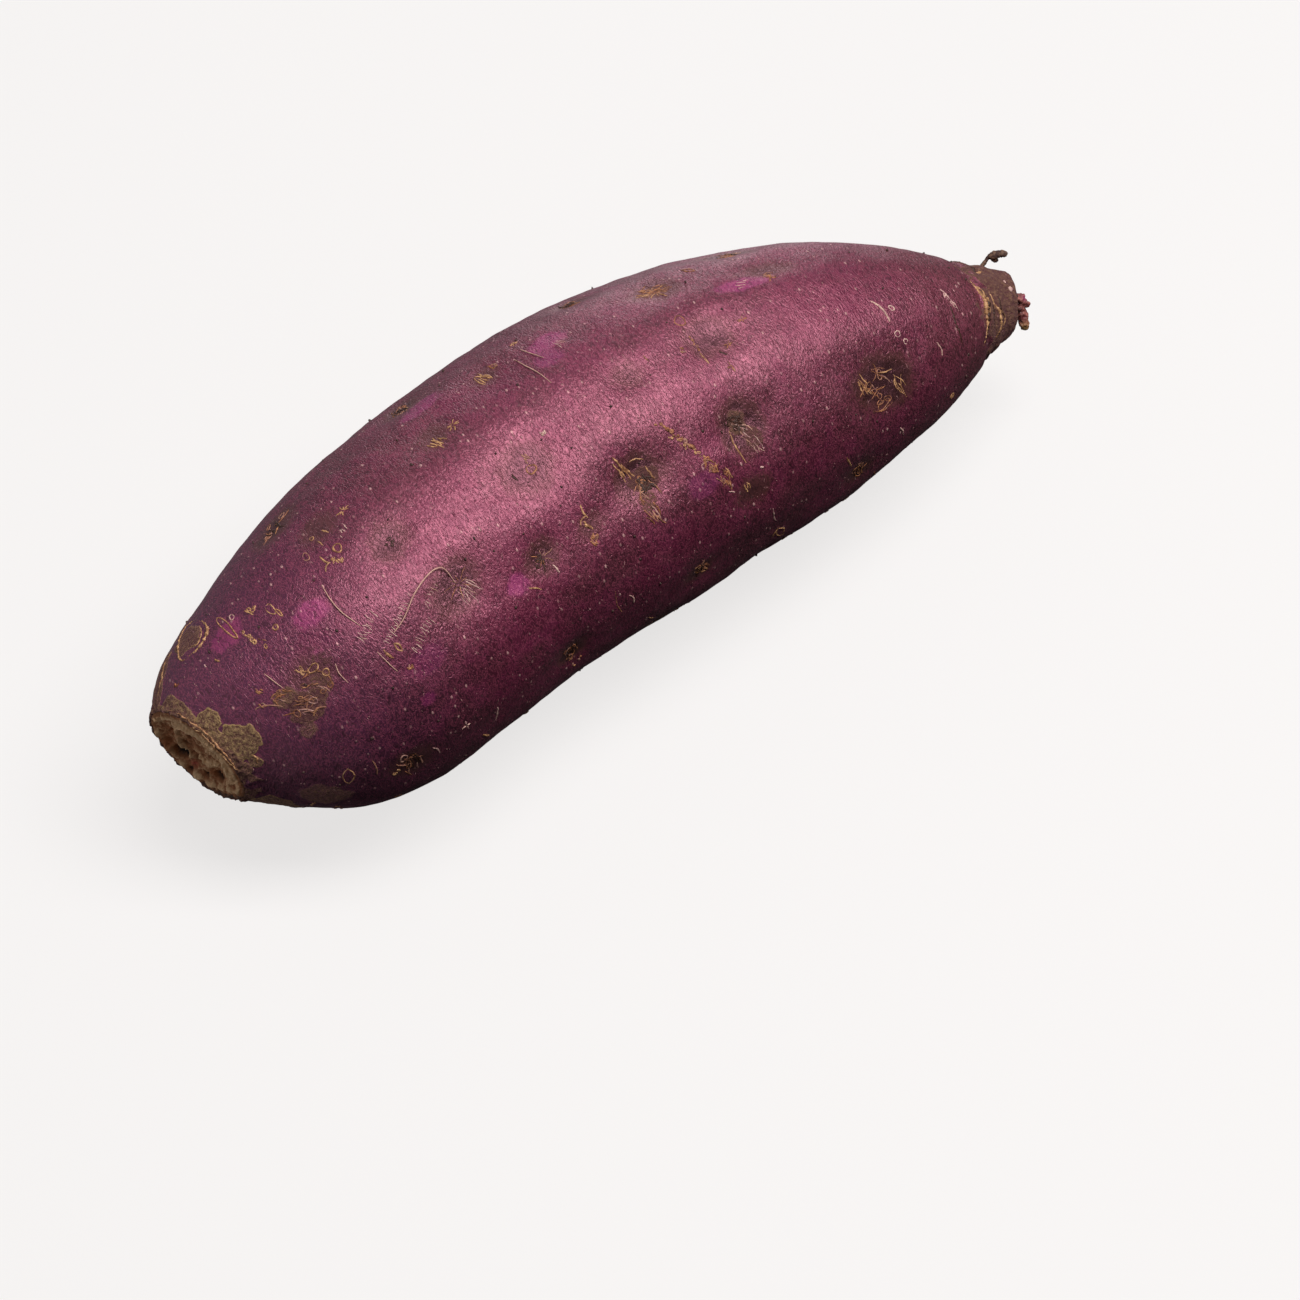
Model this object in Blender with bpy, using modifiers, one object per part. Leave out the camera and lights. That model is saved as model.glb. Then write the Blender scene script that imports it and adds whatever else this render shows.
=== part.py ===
"""Purple sweet potato: one whole root, grown as one piece. Metres, +Z up.

The root lies along X, with its dried stem scar at -X and its corky tip at +X, on a small flat
under its weight. The origin is under the middle of its box, on the surface that it lies on.
The body is a turned blank, which is then bowed, slanted at both ends and given its eyes and
creases. A thin rootlet and a torn nub stand on the tip and are joined to the body.
"""

import math
import random

import bmesh
import bpy
import numpy as np
from mathutils import Vector

MM = 0.001

# Driving sizes of the body
LENGTH = 0.1682  # from the middle of the stem scar to the middle of the tip
BELLY = 0.0292  # radius at the thickest place
SINK = 0.0011  # how deep the flat underneath cuts into the round belly
OFFSET = (-0.0002, -0.0024)  # moves the middle of the finished box onto the origin, in X and Y

# Along the root a place is a share of LENGTH, 0 at the scar and 1 at the tip. Around it a place
# is in degrees from the top, growing toward the -Y side. Each station is a place along and a
# share of BELLY.
GIRTH = ((0, 0.335), (0.04, 0.55), (0.08, 0.70), (0.13, 0.84), (0.19, 0.93), (0.27, 0.97), (0.38, 0.98),
         (0.50, 1.0), (0.62, 0.95), (0.74, 0.85), (0.84, 0.68), (0.92, 0.465), (0.965, 0.29), (1, 0.18))
DRIFT = ((0, -0.19), (0.04, -0.145), (0.08, -0.12), (0.13, -0.11), (0.19, -0.07), (0.27, 0.015), (0.38, 0.12),
         (0.50, 0.17), (0.62, 0.175), (0.74, 0.13), (0.84, 0.06), (0.92, -0.015), (0.965, -0.10), (1, -0.165))
RISE = ((0, -0.05), (0.20, -0.02), (0.50, 0), (0.80, -0.03), (1, -0.10))

# The end faces lean: the shift along X for each metre toward +Y and toward +Z, its reach along the
# root, and the shift of the face's middle
SCAR_LEAN = (-0.33, -0.01, 0.052, -1.2 * MM)
TIP_LEAN = (0.37, 0.20, 0.05, 0)

# Share of the end's radius, and depth in mm: a shallow crater with a low middle, and a blunt dome
CRATER = ((0, 1.3), (0.30, 1.6), (0.62, 1.4), (0.86, 0.5), (1, 0))
CRATER_FLOOR = 2.0 * MM  # more than the crater's depth, less than the first step between rings
DOME = ((0, -1.4), (0.45, -1.1), (0.80, -0.5), (1, 0))

# Broad waves of the section: count around, degrees at the scar, turn in degrees, height in mm
SWELLS = ((2, 40, 90, 0.35), (3, 200, 150, 0.30), (5, 90, -220, 0.18))

# Rows of eyes lie in shallow lengthwise furrows: degrees around, and one depth and width for all
SEEN_FURROWS = (42, 10, -19)
HIDDEN_FURROWS = (88, 118, 148, 212, 247, 285, 317)
FURROW_DEPTH = 0.30 * MM
FURROW_WIDTH = 9  # degrees

# Eyes and dents: along, around, half length and half width in mm, depth in mm
EYES = ((0.267, 34, 6.5, 6.0, 0.9), (0.361, 45, 4.5, 4.0, 0.7), (0.491, 40, 6.0, 5.0, 1.5),
        (0.614, 43, 5.5, 6.5, 1.3), (0.785, 54, 8.0, 6.5, 1.2), (0.234, 7, 5.0, 5.0, 0.8),
        (0.392, 17, 6.5, 6.0, 0.9), (0.534, 8, 4.0, 4.0, 0.5), (0.632, 8, 6.0, 5.0, 1.0),
        (0.624, -23, 6.0, 5.0, 0.8), (0.336, -14, 4.0, 4.0, 0.4), (0.419, -24, 4.0, 4.0, 0.4),
        (0.740, -13, 7.0, 3.0, 0.4), (0.105, 29, 5.5, 5.5, 0.5), (0.189, -17, 5.0, 5.0, 0.4),
        (0.422, 45, 4.0, 3.0, 0.4), (0.600, 66, 5.0, 4.0, 0.5), (0.968, -20, 1.6, 1.4, 0.8))

# The furrows that are turned away have eyes at even steps along, staggered from row to row. Each
# is shifted a little along and around, and draws its half length in mm and its depth in mm.
SEED = 7
HIDDEN_EYES = 4
FIRST_EYE, EYE_STEP, EYE_STAGGER = 0.17, 0.19, 0.09
SHIFT_ALONG, SHIFT_AROUND = 0.03, 5
EYE_SIZES = (4, 6.5)
EYE_DEPTHS = (0.5, 1.2)
EYE_WIDTH = 0.85  # share of its length

# Rings pressed into the corky tip: along, half width in mm, depth in mm
CREASES = ((0.951, 0.9, 0.45), (0.966, 0.8, 0.40), (0.985, 0.8, 0.25))

# The blank's rings: even steps along the body, finer ones along the tip
AROUND = 60
BODY_STEPS = 62
TIP_FROM = 0.925
TIP_STEPS = 13

# The rootlet rises from behind the tip's upper edge. Its points are in mm from its root in the
# skin, each with the radius there. The first lies inside the body.
ROOTLET_AT = (0.980, -58)
STALK = ((-1.2, -1.2, -1.0, 0.45), (0, 0, 0, 0.42), (0.9, 0.2, 0.6, 0.38), (1.7, 0.4, 1.0, 0.42),
         (2.4, 0.2, 1.4, 0.60), (3.2, -0.2, 1.7, 0.62), (4.1, -0.7, 1.9, 0.55), (4.7, -1.2, 1.5, 0.42))
FORK = ((2.2, 0.3, 1.3, 0.45), (2.8, -0.2, 0.9, 0.55), (3.0, -0.6, 0.4, 0.42))

# Lumps of torn flesh on the tip's face: mm outward, toward the near side and up, and radius
NUB = ((0.8, 0.6, 0.8, 1.4), (1.4, 1.5, 0.4, 1.0), (0.8, 1.5, -1.2, 1.6), (1.8, 2.7, -1.4, 1.1),
       (1.7, 1.5, -0.4, 1.0), (1.5, 3.2, -2.8, 1.2))


def smooth(stations, at):
    """Values on a smooth line through the stations, at the places given."""
    places, values = np.array(stations, float).T
    slopes = np.gradient(values, places)
    i = np.clip(np.searchsorted(places, at) - 1, 0, len(places) - 2)
    step = places[i + 1] - places[i]
    t = (at - places[i]) / step
    return (
        (2 * t**3 - 3 * t**2 + 1) * values[i]
        + (t**3 - 2 * t**2 + t) * step * slopes[i]
        + (3 * t**2 - 2 * t**3) * values[i + 1]
        + (t**3 - t**2) * step * slopes[i + 1]
    )


def bell(distance):
    return np.exp(-np.square(distance))


def turn(around, centre):
    """Degrees from the centre to around, from -180 to 180."""
    return (around - centre + 180) % 360 - 180


def hidden_eyes():
    """The eyes of the furrows that are turned away."""
    draw = random.Random(SEED)
    for row, furrow in enumerate(HIDDEN_FURROWS):
        for k in range(HIDDEN_EYES):
            along = FIRST_EYE + EYE_STEP * k + EYE_STAGGER * (row % 2)
            along += draw.uniform(-SHIFT_ALONG, SHIFT_ALONG)
            around = furrow + draw.uniform(-SHIFT_AROUND, SHIFT_AROUND)
            size = draw.uniform(*EYE_SIZES)
            yield along, around, size, EYE_WIDTH * size, draw.uniform(*EYE_DEPTHS)


def relief(along, around):
    """Height of the skin over the plain round body, in metres."""
    middle = np.sin(np.pi * np.clip(along, 0, 1))
    height = np.zeros_like(along)
    for count, start, twist, size in SWELLS:
        height += size * MM * middle * np.cos(np.radians(count * around - start - twist * along))
    for furrow in SEEN_FURROWS + HIDDEN_FURROWS:
        height -= FURROW_DEPTH * middle * bell(turn(around, furrow) / FURROW_WIDTH)
    girth = BELLY * smooth(GIRTH, along)
    for at, degrees, half_length, half_width, depth in [*EYES, *hidden_eyes()]:
        lengthwise = (along - at) * LENGTH / (half_length * MM)
        sideways = np.radians(turn(around, degrees)) * girth / (half_width * MM)
        height -= depth * MM * bell(lengthwise) * bell(sideways)
    for at, half_width, depth in CREASES:
        height -= depth * MM * bell((along - at) * LENGTH / (half_width * MM))
    return height


def root_points(along, around, share=1.0):
    """Points of the root. A share under 1 lies inside the skin, or on an end face."""
    angle = np.radians(around)
    radius = share * (BELLY * smooth(GIRTH, along) + relief(along, around))
    side = -radius * np.sin(angle)
    up = radius * np.cos(angle)
    x = (along - 0.5) * LENGTH
    for lean, reach in ((SCAR_LEAN, along), (TIP_LEAN, 1 - along)):
        x = x + (lean[0] * side + lean[1] * up + lean[3]) * bell(reach / lean[2])
    y = BELLY * smooth(DRIFT, along) + side
    z = BELLY * (1 + smooth(RISE, along)) - SINK + up
    return np.stack([x + OFFSET[0], y + OFFSET[1], np.maximum(z, 0)], axis=-1)


def ring_places():
    """Places along the root of the blank's rings, from the scar to the tip."""
    body = np.linspace(0, TIP_FROM, BODY_STEPS, endpoint=False)
    return np.concatenate([body, np.linspace(TIP_FROM, 1, TIP_STEPS)])


def turned_blank():
    """The straight, round root standing on its scar: a profile run round by a Screw modifier."""
    profile = [(share * BELLY * GIRTH[-1][1], LENGTH - depth * MM) for share, depth in DOME[:-1]]
    profile += [(BELLY * smooth(GIRTH, s), s * LENGTH) for s in ring_places()[::-1]]
    profile += [(share * BELLY * GIRTH[0][1], depth * MM) for share, depth in CRATER[-2::-1]]
    mesh = bpy.data.meshes.new("blank")
    points = [(float(radius), 0, float(height)) for radius, height in profile]
    mesh.from_pydata(points, [(i, i + 1) for i in range(len(points) - 1)], [])
    blank = bpy.data.objects.new("blank", mesh)
    bpy.context.scene.collection.objects.link(blank)
    screw = blank.modifiers.new("turned", "SCREW")
    screw.axis = "Z"
    screw.angle = math.tau
    screw.steps = screw.render_steps = AROUND
    screw.use_merge_vertices = True
    screw.merge_threshold = 0.0001 * MM
    return as_mesh(blank)


def as_mesh(source):
    """The object's evaluated mesh in world space as a new object, in place of the source."""
    graph = bpy.context.evaluated_depsgraph_get()
    mesh = bpy.data.meshes.new_from_object(source.evaluated_get(graph))
    mesh.transform(source.matrix_world)
    made = bpy.data.objects.new(source.name, mesh)
    bpy.context.scene.collection.objects.link(made)
    bpy.data.objects.remove(source)
    weld = bmesh.new()
    weld.from_mesh(mesh)
    bmesh.ops.remove_doubles(weld, verts=weld.verts, dist=0.001 * MM)
    bmesh.ops.recalc_face_normals(weld, faces=weld.faces)
    weld.to_mesh(mesh)
    weld.free()
    return made


def shape_blank(blank):
    """Moves each point of the turned blank to its place on the bowed and dented root."""
    points = np.empty(len(blank.data.vertices) * 3)
    blank.data.vertices.foreach_get("co", points)
    x, y, z = points.reshape(-1, 3).T
    distance = np.hypot(x, y)
    along = np.clip(z / LENGTH, 0, 1)
    on_scar = (z < CRATER_FLOOR) & (distance < BELLY * GIRTH[0][1])
    along = np.where(on_scar, 0, along)
    share = np.minimum(distance / (BELLY * smooth(GIRTH, along)), 1)
    around = np.degrees(np.arctan2(-y, -x))
    shaped = root_points(along, around, share)
    shaped[:, 0] += z - along * LENGTH
    blank.data.vertices.foreach_set("co", shaped.ravel())
    blank.data.update()


def tip_frame():
    """Top of the tip's dome, and the face's directions outward, toward the near side and up."""
    top = Vector(root_points(np.array(1.0), np.array(0.0), 0.0)) - Vector((DOME[0][1] * MM, 0, 0))
    outward = Vector((1, -TIP_LEAN[0], -TIP_LEAN[1])).normalized()
    near = outward.cross(Vector((0, 0, 1))).normalized()
    return top, outward, near, near.cross(outward)


def tube(name, points):
    """A tapered tube through the points (x, y, z, radius), as a closed mesh."""
    curve = bpy.data.curves.new(name, "CURVE")
    curve.dimensions = "3D"
    curve.bevel_depth = 1.0
    curve.bevel_resolution = 1
    curve.use_fill_caps = True
    spline = curve.splines.new("POLY")
    spline.points.add(len(points) - 1)
    for point, (x, y, z, radius) in zip(spline.points, points):
        point.co = (x, y, z, 1)
        point.radius = radius
    source = bpy.data.objects.new(name, curve)
    bpy.context.scene.collection.objects.link(source)
    bpy.context.view_layer.update()
    return as_mesh(source)


def rootlet_tubes():
    """The rootlet's stalk and the short fork of its lumpy head."""
    root = root_points(np.array(ROOTLET_AT[0]), np.array(ROOTLET_AT[1]))
    for name, route in (("stalk", STALK), ("fork", FORK)):
        yield tube(name, [(*(root + np.array(point) * MM), radius * MM) for *point, radius in route])


def nub_lumps():
    """The lumps of torn flesh on the tip's face, their backs sunk into it."""
    top, outward, near, up = tip_frame()
    for out, toward, rise, radius in NUB:
        spot = top + (outward * out + near * toward + up * rise) * MM
        bpy.ops.mesh.primitive_ico_sphere_add(subdivisions=1, radius=radius * MM, location=spot)
        lump = bpy.context.object
        lump.name = "lump"
        yield lump


def join(body, pieces):
    """One Boolean union of the body with all the pieces, applied, and the pieces removed."""
    grown = bpy.data.collections.new("grown on")
    bpy.context.scene.collection.children.link(grown)
    for piece in pieces:
        grown.objects.link(piece)
    union = body.modifiers.new("grown on", "BOOLEAN")
    union.operation = "UNION"
    union.operand_type = "COLLECTION"
    union.collection = grown
    joined = as_mesh(body)
    for piece in pieces:
        bpy.data.objects.remove(piece)
    bpy.data.collections.remove(grown)
    return joined


def skin_material():
    material = bpy.data.materials.new("purple skin")
    material.use_nodes = True
    surface = material.node_tree.nodes["Principled BSDF"]
    surface.inputs["Base Color"].default_value = (0.130, 0.030, 0.062, 1)
    surface.inputs["Roughness"].default_value = 0.42
    surface.inputs["Metallic"].default_value = 0
    return material


def build():
    for existing in list(bpy.data.objects):
        bpy.data.objects.remove(existing)
    body = turned_blank()
    shape_blank(body)
    root = join(body, [*rootlet_tubes(), *nub_lumps()])
    root.name = root.data.name = "sweet_potato"
    root.data.materials.clear()
    root.data.materials.append(skin_material())
    root.data.shade_smooth()
    root.data.set_sharp_from_angle(angle=math.radians(50))
    collection = bpy.data.collections.new("purple sweet potato")
    bpy.context.scene.collection.children.link(collection)
    collection.objects.link(root)
    bpy.context.scene.collection.objects.unlink(root)


build()
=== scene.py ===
# %% [markdown]
# # A whole purple sweet potato
#
# This lesson dresses one sweet potato that lies on its side. The measured solid gives its size
# and form. The lesson gives it what the eye looks for on a real root: thin wine-purple skin with
# a fine wrinkled grain, corky scars and patches, torn places that show magenta, dried rootlets,
# the dry scar where the stem was, and the corky tip with a torn nub.

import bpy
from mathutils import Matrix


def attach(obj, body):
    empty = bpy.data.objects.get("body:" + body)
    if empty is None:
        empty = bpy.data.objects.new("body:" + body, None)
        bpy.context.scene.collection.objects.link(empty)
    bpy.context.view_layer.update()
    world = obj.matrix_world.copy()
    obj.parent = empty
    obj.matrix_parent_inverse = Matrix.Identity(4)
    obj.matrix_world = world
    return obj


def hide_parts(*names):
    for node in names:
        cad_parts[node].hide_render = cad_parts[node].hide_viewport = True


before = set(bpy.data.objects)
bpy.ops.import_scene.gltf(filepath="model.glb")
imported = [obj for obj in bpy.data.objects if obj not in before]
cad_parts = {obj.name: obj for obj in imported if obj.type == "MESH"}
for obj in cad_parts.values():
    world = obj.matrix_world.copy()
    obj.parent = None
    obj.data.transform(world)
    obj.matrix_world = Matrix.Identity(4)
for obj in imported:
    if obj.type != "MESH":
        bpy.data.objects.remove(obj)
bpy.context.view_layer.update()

# %% Tools that the lesson uses
import math
import random

import bpy
import numpy as np
from mathutils import Matrix, Vector, noise

MM = 0.001

# %% [markdown]
# ## The form of the root
#
# A sweet potato is a swollen root: round in section, thickest at the belly, bowed along its
# length and cut off slantwise at both ends. One way to make it is sculpting. Here it is built from
# stations instead, the same numbers as the solid's, so the skin lies exactly on the solid, and any
# mark can be put at a place on it: a share of the length, and degrees around from the top.

# %% Stations of the form
LENGTH = 0.1682  # scar to tip
BELLY = 0.0292  # radius at the thickest place
SINK = 0.0011  # the flat underneath cuts this far into the round belly
OFFSET = (-0.0002, -0.0024)
# Stations: share of the length, then girth, sideways drift or rise as a share of the belly's radius
GIRTH = ((0, 0.335), (0.04, 0.55), (0.08, 0.70), (0.13, 0.84), (0.19, 0.93), (0.27, 0.97), (0.38, 0.98),
         (0.50, 1.0), (0.62, 0.95), (0.74, 0.85), (0.84, 0.68), (0.92, 0.465), (0.965, 0.29), (1, 0.18))
DRIFT = ((0, -0.19), (0.04, -0.145), (0.08, -0.12), (0.13, -0.11), (0.19, -0.07), (0.27, 0.015),
         (0.38, 0.12), (0.50, 0.17), (0.62, 0.175), (0.74, 0.13), (0.84, 0.06), (0.92, -0.015),
         (0.965, -0.10), (1, -0.165))
RISE = ((0, -0.05), (0.20, -0.02), (0.50, 0), (0.80, -0.03), (1, -0.10))
# Each end face leans: shift along X per metre sideways and upward, its reach, and the face's shift
SCAR_LEAN = (-0.33, -0.01, 0.052, -1.2 * MM)
TIP_LEAN = (0.37, 0.20, 0.05, 0)
# Each end face is hollow or domed: share of its radius, depth in mm
CRATER = ((0, 1.3), (0.30, 1.6), (0.62, 1.4), (0.86, 0.5), (1, 0))
DOME = ((0, -1.4), (0.45, -1.1), (0.80, -0.5), (1, 0))


def smooth(stations, at):
    """Values on a smooth line through the stations, at the places given."""
    places, values = np.array(stations, float).T
    slopes = np.gradient(values, places)
    i = np.clip(np.searchsorted(places, at) - 1, 0, len(places) - 2)
    step = places[i + 1] - places[i]
    t = (at - places[i]) / step
    return (
        (2 * t**3 - 3 * t**2 + 1) * values[i]
        + (t**3 - 2 * t**2 + t) * step * slopes[i]
        + (3 * t**2 - 2 * t**3) * values[i + 1]
        + (t**3 - t**2) * step * slopes[i + 1]
    )


def bell(distance):
    """1 in the middle, falling off softly with the distance."""
    return np.exp(-np.square(distance))


def turn(around, centre):
    """Degrees from the centre to around, from -180 to 180."""
    return (around - centre + 180) % 360 - 180


# %% [markdown]
# ## Furrows and eyes
#
# The eyes are the shallow dents that side roots grew from. They sit in lengthwise furrows. Each is
# a soft bell-shaped dent here. The ones that can be seen are placed one by one, and the rest are
# drawn from a fixed seed.

# %% Dents of the body
# Swells: how many around, where they start and how they twist in degrees, height in mm
SWELLS = ((2, 40, 90, 0.35), (3, 200, 150, 0.30), (5, 90, -220, 0.18))
SEEN_FURROWS = (42, 10, -19)
HIDDEN_FURROWS = (88, 118, 148, 212, 247, 285, 317)
FURROW_DEPTH = 0.30 * MM
FURROW_WIDTH = 9  # degrees
# Eyes: along, around, half length, half width and depth in mm. The last is the tip's pit.
EYES = ((0.267, 34, 6.5, 6.0, 0.9), (0.361, 45, 4.5, 4.0, 0.7), (0.491, 40, 6.0, 5.0, 1.5),
        (0.614, 43, 5.5, 6.5, 1.3), (0.785, 54, 8.0, 6.5, 1.2), (0.234, 7, 5.0, 5.0, 0.8),
        (0.392, 17, 6.5, 6.0, 0.9), (0.534, 8, 4.0, 4.0, 0.5), (0.632, 8, 6.0, 5.0, 1.0),
        (0.624, -23, 6.0, 5.0, 0.8), (0.336, -14, 4.0, 4.0, 0.4), (0.419, -24, 4.0, 4.0, 0.4),
        (0.740, -13, 7.0, 3.0, 0.4), (0.105, 29, 5.5, 5.5, 0.5), (0.189, -17, 5.0, 5.0, 0.4),
        (0.422, 45, 4.0, 3.0, 0.4), (0.600, 66, 5.0, 4.0, 0.5), (0.968, -20, 1.6, 1.4, 0.8))
SEED = 7
HIDDEN_EYES = 4  # in each hidden furrow
FIRST_EYE, EYE_STEP, EYE_STAGGER = 0.17, 0.19, 0.09
SHIFT_ALONG, SHIFT_AROUND = 0.03, 5
EYE_SIZES = (4, 6.5)
EYE_DEPTHS = (0.5, 1.2)
EYE_WIDTH = 0.85
CREASES = ((0.951, 0.9, 0.45), (0.966, 0.8, 0.40), (0.985, 0.8, 0.25))  # along, half width, depth


def eyes_turned_away():
    """The eyes of the furrows that face away: along, around, half length, half width, depth."""
    draw = random.Random(SEED)
    eyes = []
    for row, furrow in enumerate(HIDDEN_FURROWS):
        for k in range(HIDDEN_EYES):
            along = FIRST_EYE + EYE_STEP * k + EYE_STAGGER * (row % 2)
            along += draw.uniform(-SHIFT_ALONG, SHIFT_ALONG)
            around = furrow + draw.uniform(-SHIFT_AROUND, SHIFT_AROUND)
            size = draw.uniform(*EYE_SIZES)
            eyes.append((along, around, size, EYE_WIDTH * size, draw.uniform(*EYE_DEPTHS)))
    return eyes


HIDDEN = eyes_turned_away()


def girth_at(along):
    """Radius of the plain round body."""
    return BELLY * smooth(GIRTH, np.clip(along, 0, 1))


def spread(along, around, spot):
    """Distance from a spot's middle as a share of its half length and half width in mm, squared."""
    at, degrees, half_length, half_width = spot[:4]
    lengthwise = (along - at) * LENGTH / (half_length * MM)
    sideways = np.radians(turn(around, degrees)) * girth_at(along) / (half_width * MM)
    return lengthwise**2 + sideways**2


def dents(along, around):
    """Height of the skin over the plain round body, in metres, as on the solid."""
    middle = np.sin(np.pi * np.clip(along, 0, 1))
    height = np.zeros_like(along)
    for count, start, twist, size in SWELLS:
        wave = np.cos(np.radians(count * around - start - twist * along))
        height = height + size * MM * middle * wave
    for furrow in SEEN_FURROWS + HIDDEN_FURROWS:
        height = height - FURROW_DEPTH * middle * bell(turn(around, furrow) / FURROW_WIDTH)
    for eye in [*EYES, *HIDDEN]:
        height = height - eye[4] * MM * np.exp(-spread(along, around, eye))
    for at, half_width, depth in CREASES:
        height = height - depth * MM * bell((along - at) * LENGTH / (half_width * MM))
    return height


def root_points(along, around, share=1.0):
    """Points on the root. A share under 1 is inside the skin, or on an end face."""
    along, around = np.broadcast_arrays(np.asarray(along, float), np.asarray(around, float))
    angle = np.radians(around)
    radius = share * (BELLY * smooth(GIRTH, along) + dents(along, around))
    side = -radius * np.sin(angle)
    up = radius * np.cos(angle)
    x = (along - 0.5) * LENGTH
    for lean, reach in ((SCAR_LEAN, along), (TIP_LEAN, 1 - along)):
        x = x + (lean[0] * side + lean[1] * up + lean[3]) * bell(reach / lean[2])
    y = BELLY * smooth(DRIFT, along) + side
    z = BELLY * (1 + smooth(RISE, along)) - SINK + up
    return np.stack([x + OFFSET[0], y + OFFSET[1], z], axis=-1)


print("eyes:", len(EYES), "placed and", len(HIDDEN), "drawn")

# %% [markdown]
# ## Fine relief
#
# Close up the skin isn't smooth. It has low lumps a few millimetres across, corky patches that
# stand a little proud, torn patches that are a little lower, and rough cork at both ends. All
# of it is one height, added along the surface's own direction, so that the skin and every mark
# that is laid on it later agree on where the surface is.

# %% Corky and torn patches
# Cork: along, around, half length and width in mm, how khaki (1) or umber (0), how fully it covers
CORK = ((0.008, 11, 1.9, 2.3, 1.0, 1.0), (0.016, 38, 3.0, 3.5, 1.0, 1.0),
        (0.004, 28, 1.5, 4.4, 0.9, 1.0), (0.017, 58, 0.9, 1.4, 0.8, 0.7),
        (0.004, 62, 1.4, 2.0, 0.35, 0.6), (0.004, -20, 1.5, 5.0, 0.6, 0.9),
        (0.048, -40, 2.0, 3.4, 0.28, 0.85), (0.024, -56, 3.0, 1.8, 0.32, 0.8),
        (0.010, -54, 2.6, 1.8, 0.4, 0.9), (0.030, -72, 4.0, 2.6, 0.45, 0.85),
        (0.058, -66, 3.0, 2.6, 0.5, 0.6), (0.088, 40, 3.4, 2.9, 0.10, 0.74),
        (0.107, 33, 2.6, 2.4, 0.08, 0.46), (0.073, 31, 2.4, 2.0, 0.16, 0.50),
        (0.118, 27, 2.0, 2.2, 0.0, 0.36), (0.078, 50, 2.0, 1.6, 0.14, 0.40),
        (0.070, 95, 5.0, 4.0, 0.2, 0.40), (0.030, 130, 4.5, 6.0, 0.7, 0.9),
        (0.022, 205, 3.5, 7.0, 0.4, 0.8), (0.46, 232, 2.6, 1.7, 0.2, 0.36),
        (0.71, 158, 2.2, 3.4, 0.2, 0.38), (0.25, 262, 2.0, 1.5, 0.3, 0.40),
        (0.83, 118, 2.6, 1.7, 0.2, 0.38), (0.625, -23, 3.4, 2.4, 0.1, 0.36),
        (0.36, 190, 2.8, 1.9, 0.1, 0.36), (0.58, 262, 1.9, 2.6, 0.1, 0.34),
        (0.472, 225, 1.7, 1.5, 0.1, 0.26), (0.701, 151, 1.6, 1.9, 0.1, 0.28),
        (0.350, 184, 1.8, 1.5, 0.1, 0.26), (0.592, 256, 1.5, 1.8, 0.1, 0.24),
        (0.494, 42, 3.2, 2.5, 0.05, 0.62), (0.487, 48, 2.2, 2.4, 0.12, 0.34),
        (0.612, 41, 2.0, 2.8, 0.12, 0.50), (0.621, 49, 2.2, 2.4, 0.05, 0.42))
# Peeled: along, around, half length and half width in mm, how deep the colour is
PEELED = ((0.494, -21, 4.2, 2.6, 0.25), (0.480, -13, 3.2, 2.4, 0.6), (0.326, 47, 2.4, 2.2, 0.0),
          (0.133, 9, 3.2, 3.0, 0.1), (0.119, 18, 3.4, 2.6, 1.0), (0.352, -33, 5.0, 2.6, 0.3),
          (0.066, -14, 3.0, 2.6, 0.3), (0.703, -8, 6.0, 1.7, 0.1), (0.193, 60, 1.5, 1.3, 0.6),
          (0.57, 205, 4.0, 2.6, 0.4), (0.31, 128, 3.0, 2.4, 0.6), (0.80, 250, 3.4, 2.0, 0.2),
          (0.39, 285, 2.8, 2.4, 0.5), (0.547, 54, 3.8, 2.4, 0.75), (0.205, 48, 4.2, 2.6, 0.8))
CORK_EDGE, TIP_CORK = 0.006, 0.957  # the bare cork at the scar's rim ends here, and the tip's begins
RIM_KHAKI, TIP_KHAKI = 0.45, 0.24
NOTCH_SIZE, NOTCH_DEPTH = 2.6, 0.26  # notches in a patch's edge: mm across, and a share of the patch
STAIN_LENGTH, STAIN_WIDTH = 0.80, 0.78  # shares of the eye that the stain lies in
RIM_RAGGED, TIP_RAGGED = 0.010, 0.020  # how far the bare cork's edges wander, along the root
LUMPS = ((10, 0.20), (3.2, 0.07))  # mm across, mm high
CRUST_SIZE, CORK_RISE, CORK_CRUST = 1.3, 0.10, 0.14  # mm: lumps across, the cork's rise, its lumps
PEEL_DEPTH, STAIN_CRUST = 0.07, 0.12  # mm
TORN_END, TORN_FADE, TORN_SIZE, TORN_HEIGHT = 0.016, 0.013, 1.0, 0.42  # the scar's torn lip, mm last


def random_relief(points, size, octaves=3):
    """Smooth random heights, about -1 to 1, with lumps of the given size in mm."""
    flat = np.reshape(points, (-1, 3)) / (size * MM)
    heights = [noise.fractal(Vector(p), 1.0, 2.0, octaves) for p in flat]
    return np.reshape(heights, np.shape(points)[:-1])


def ramp(value, low, high):
    """0 below low and 1 above high, with a smooth rise between them."""
    t = np.clip((value - low) / (high - low), 0, 1)
    return t * t * (3 - 2 * t)


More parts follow.
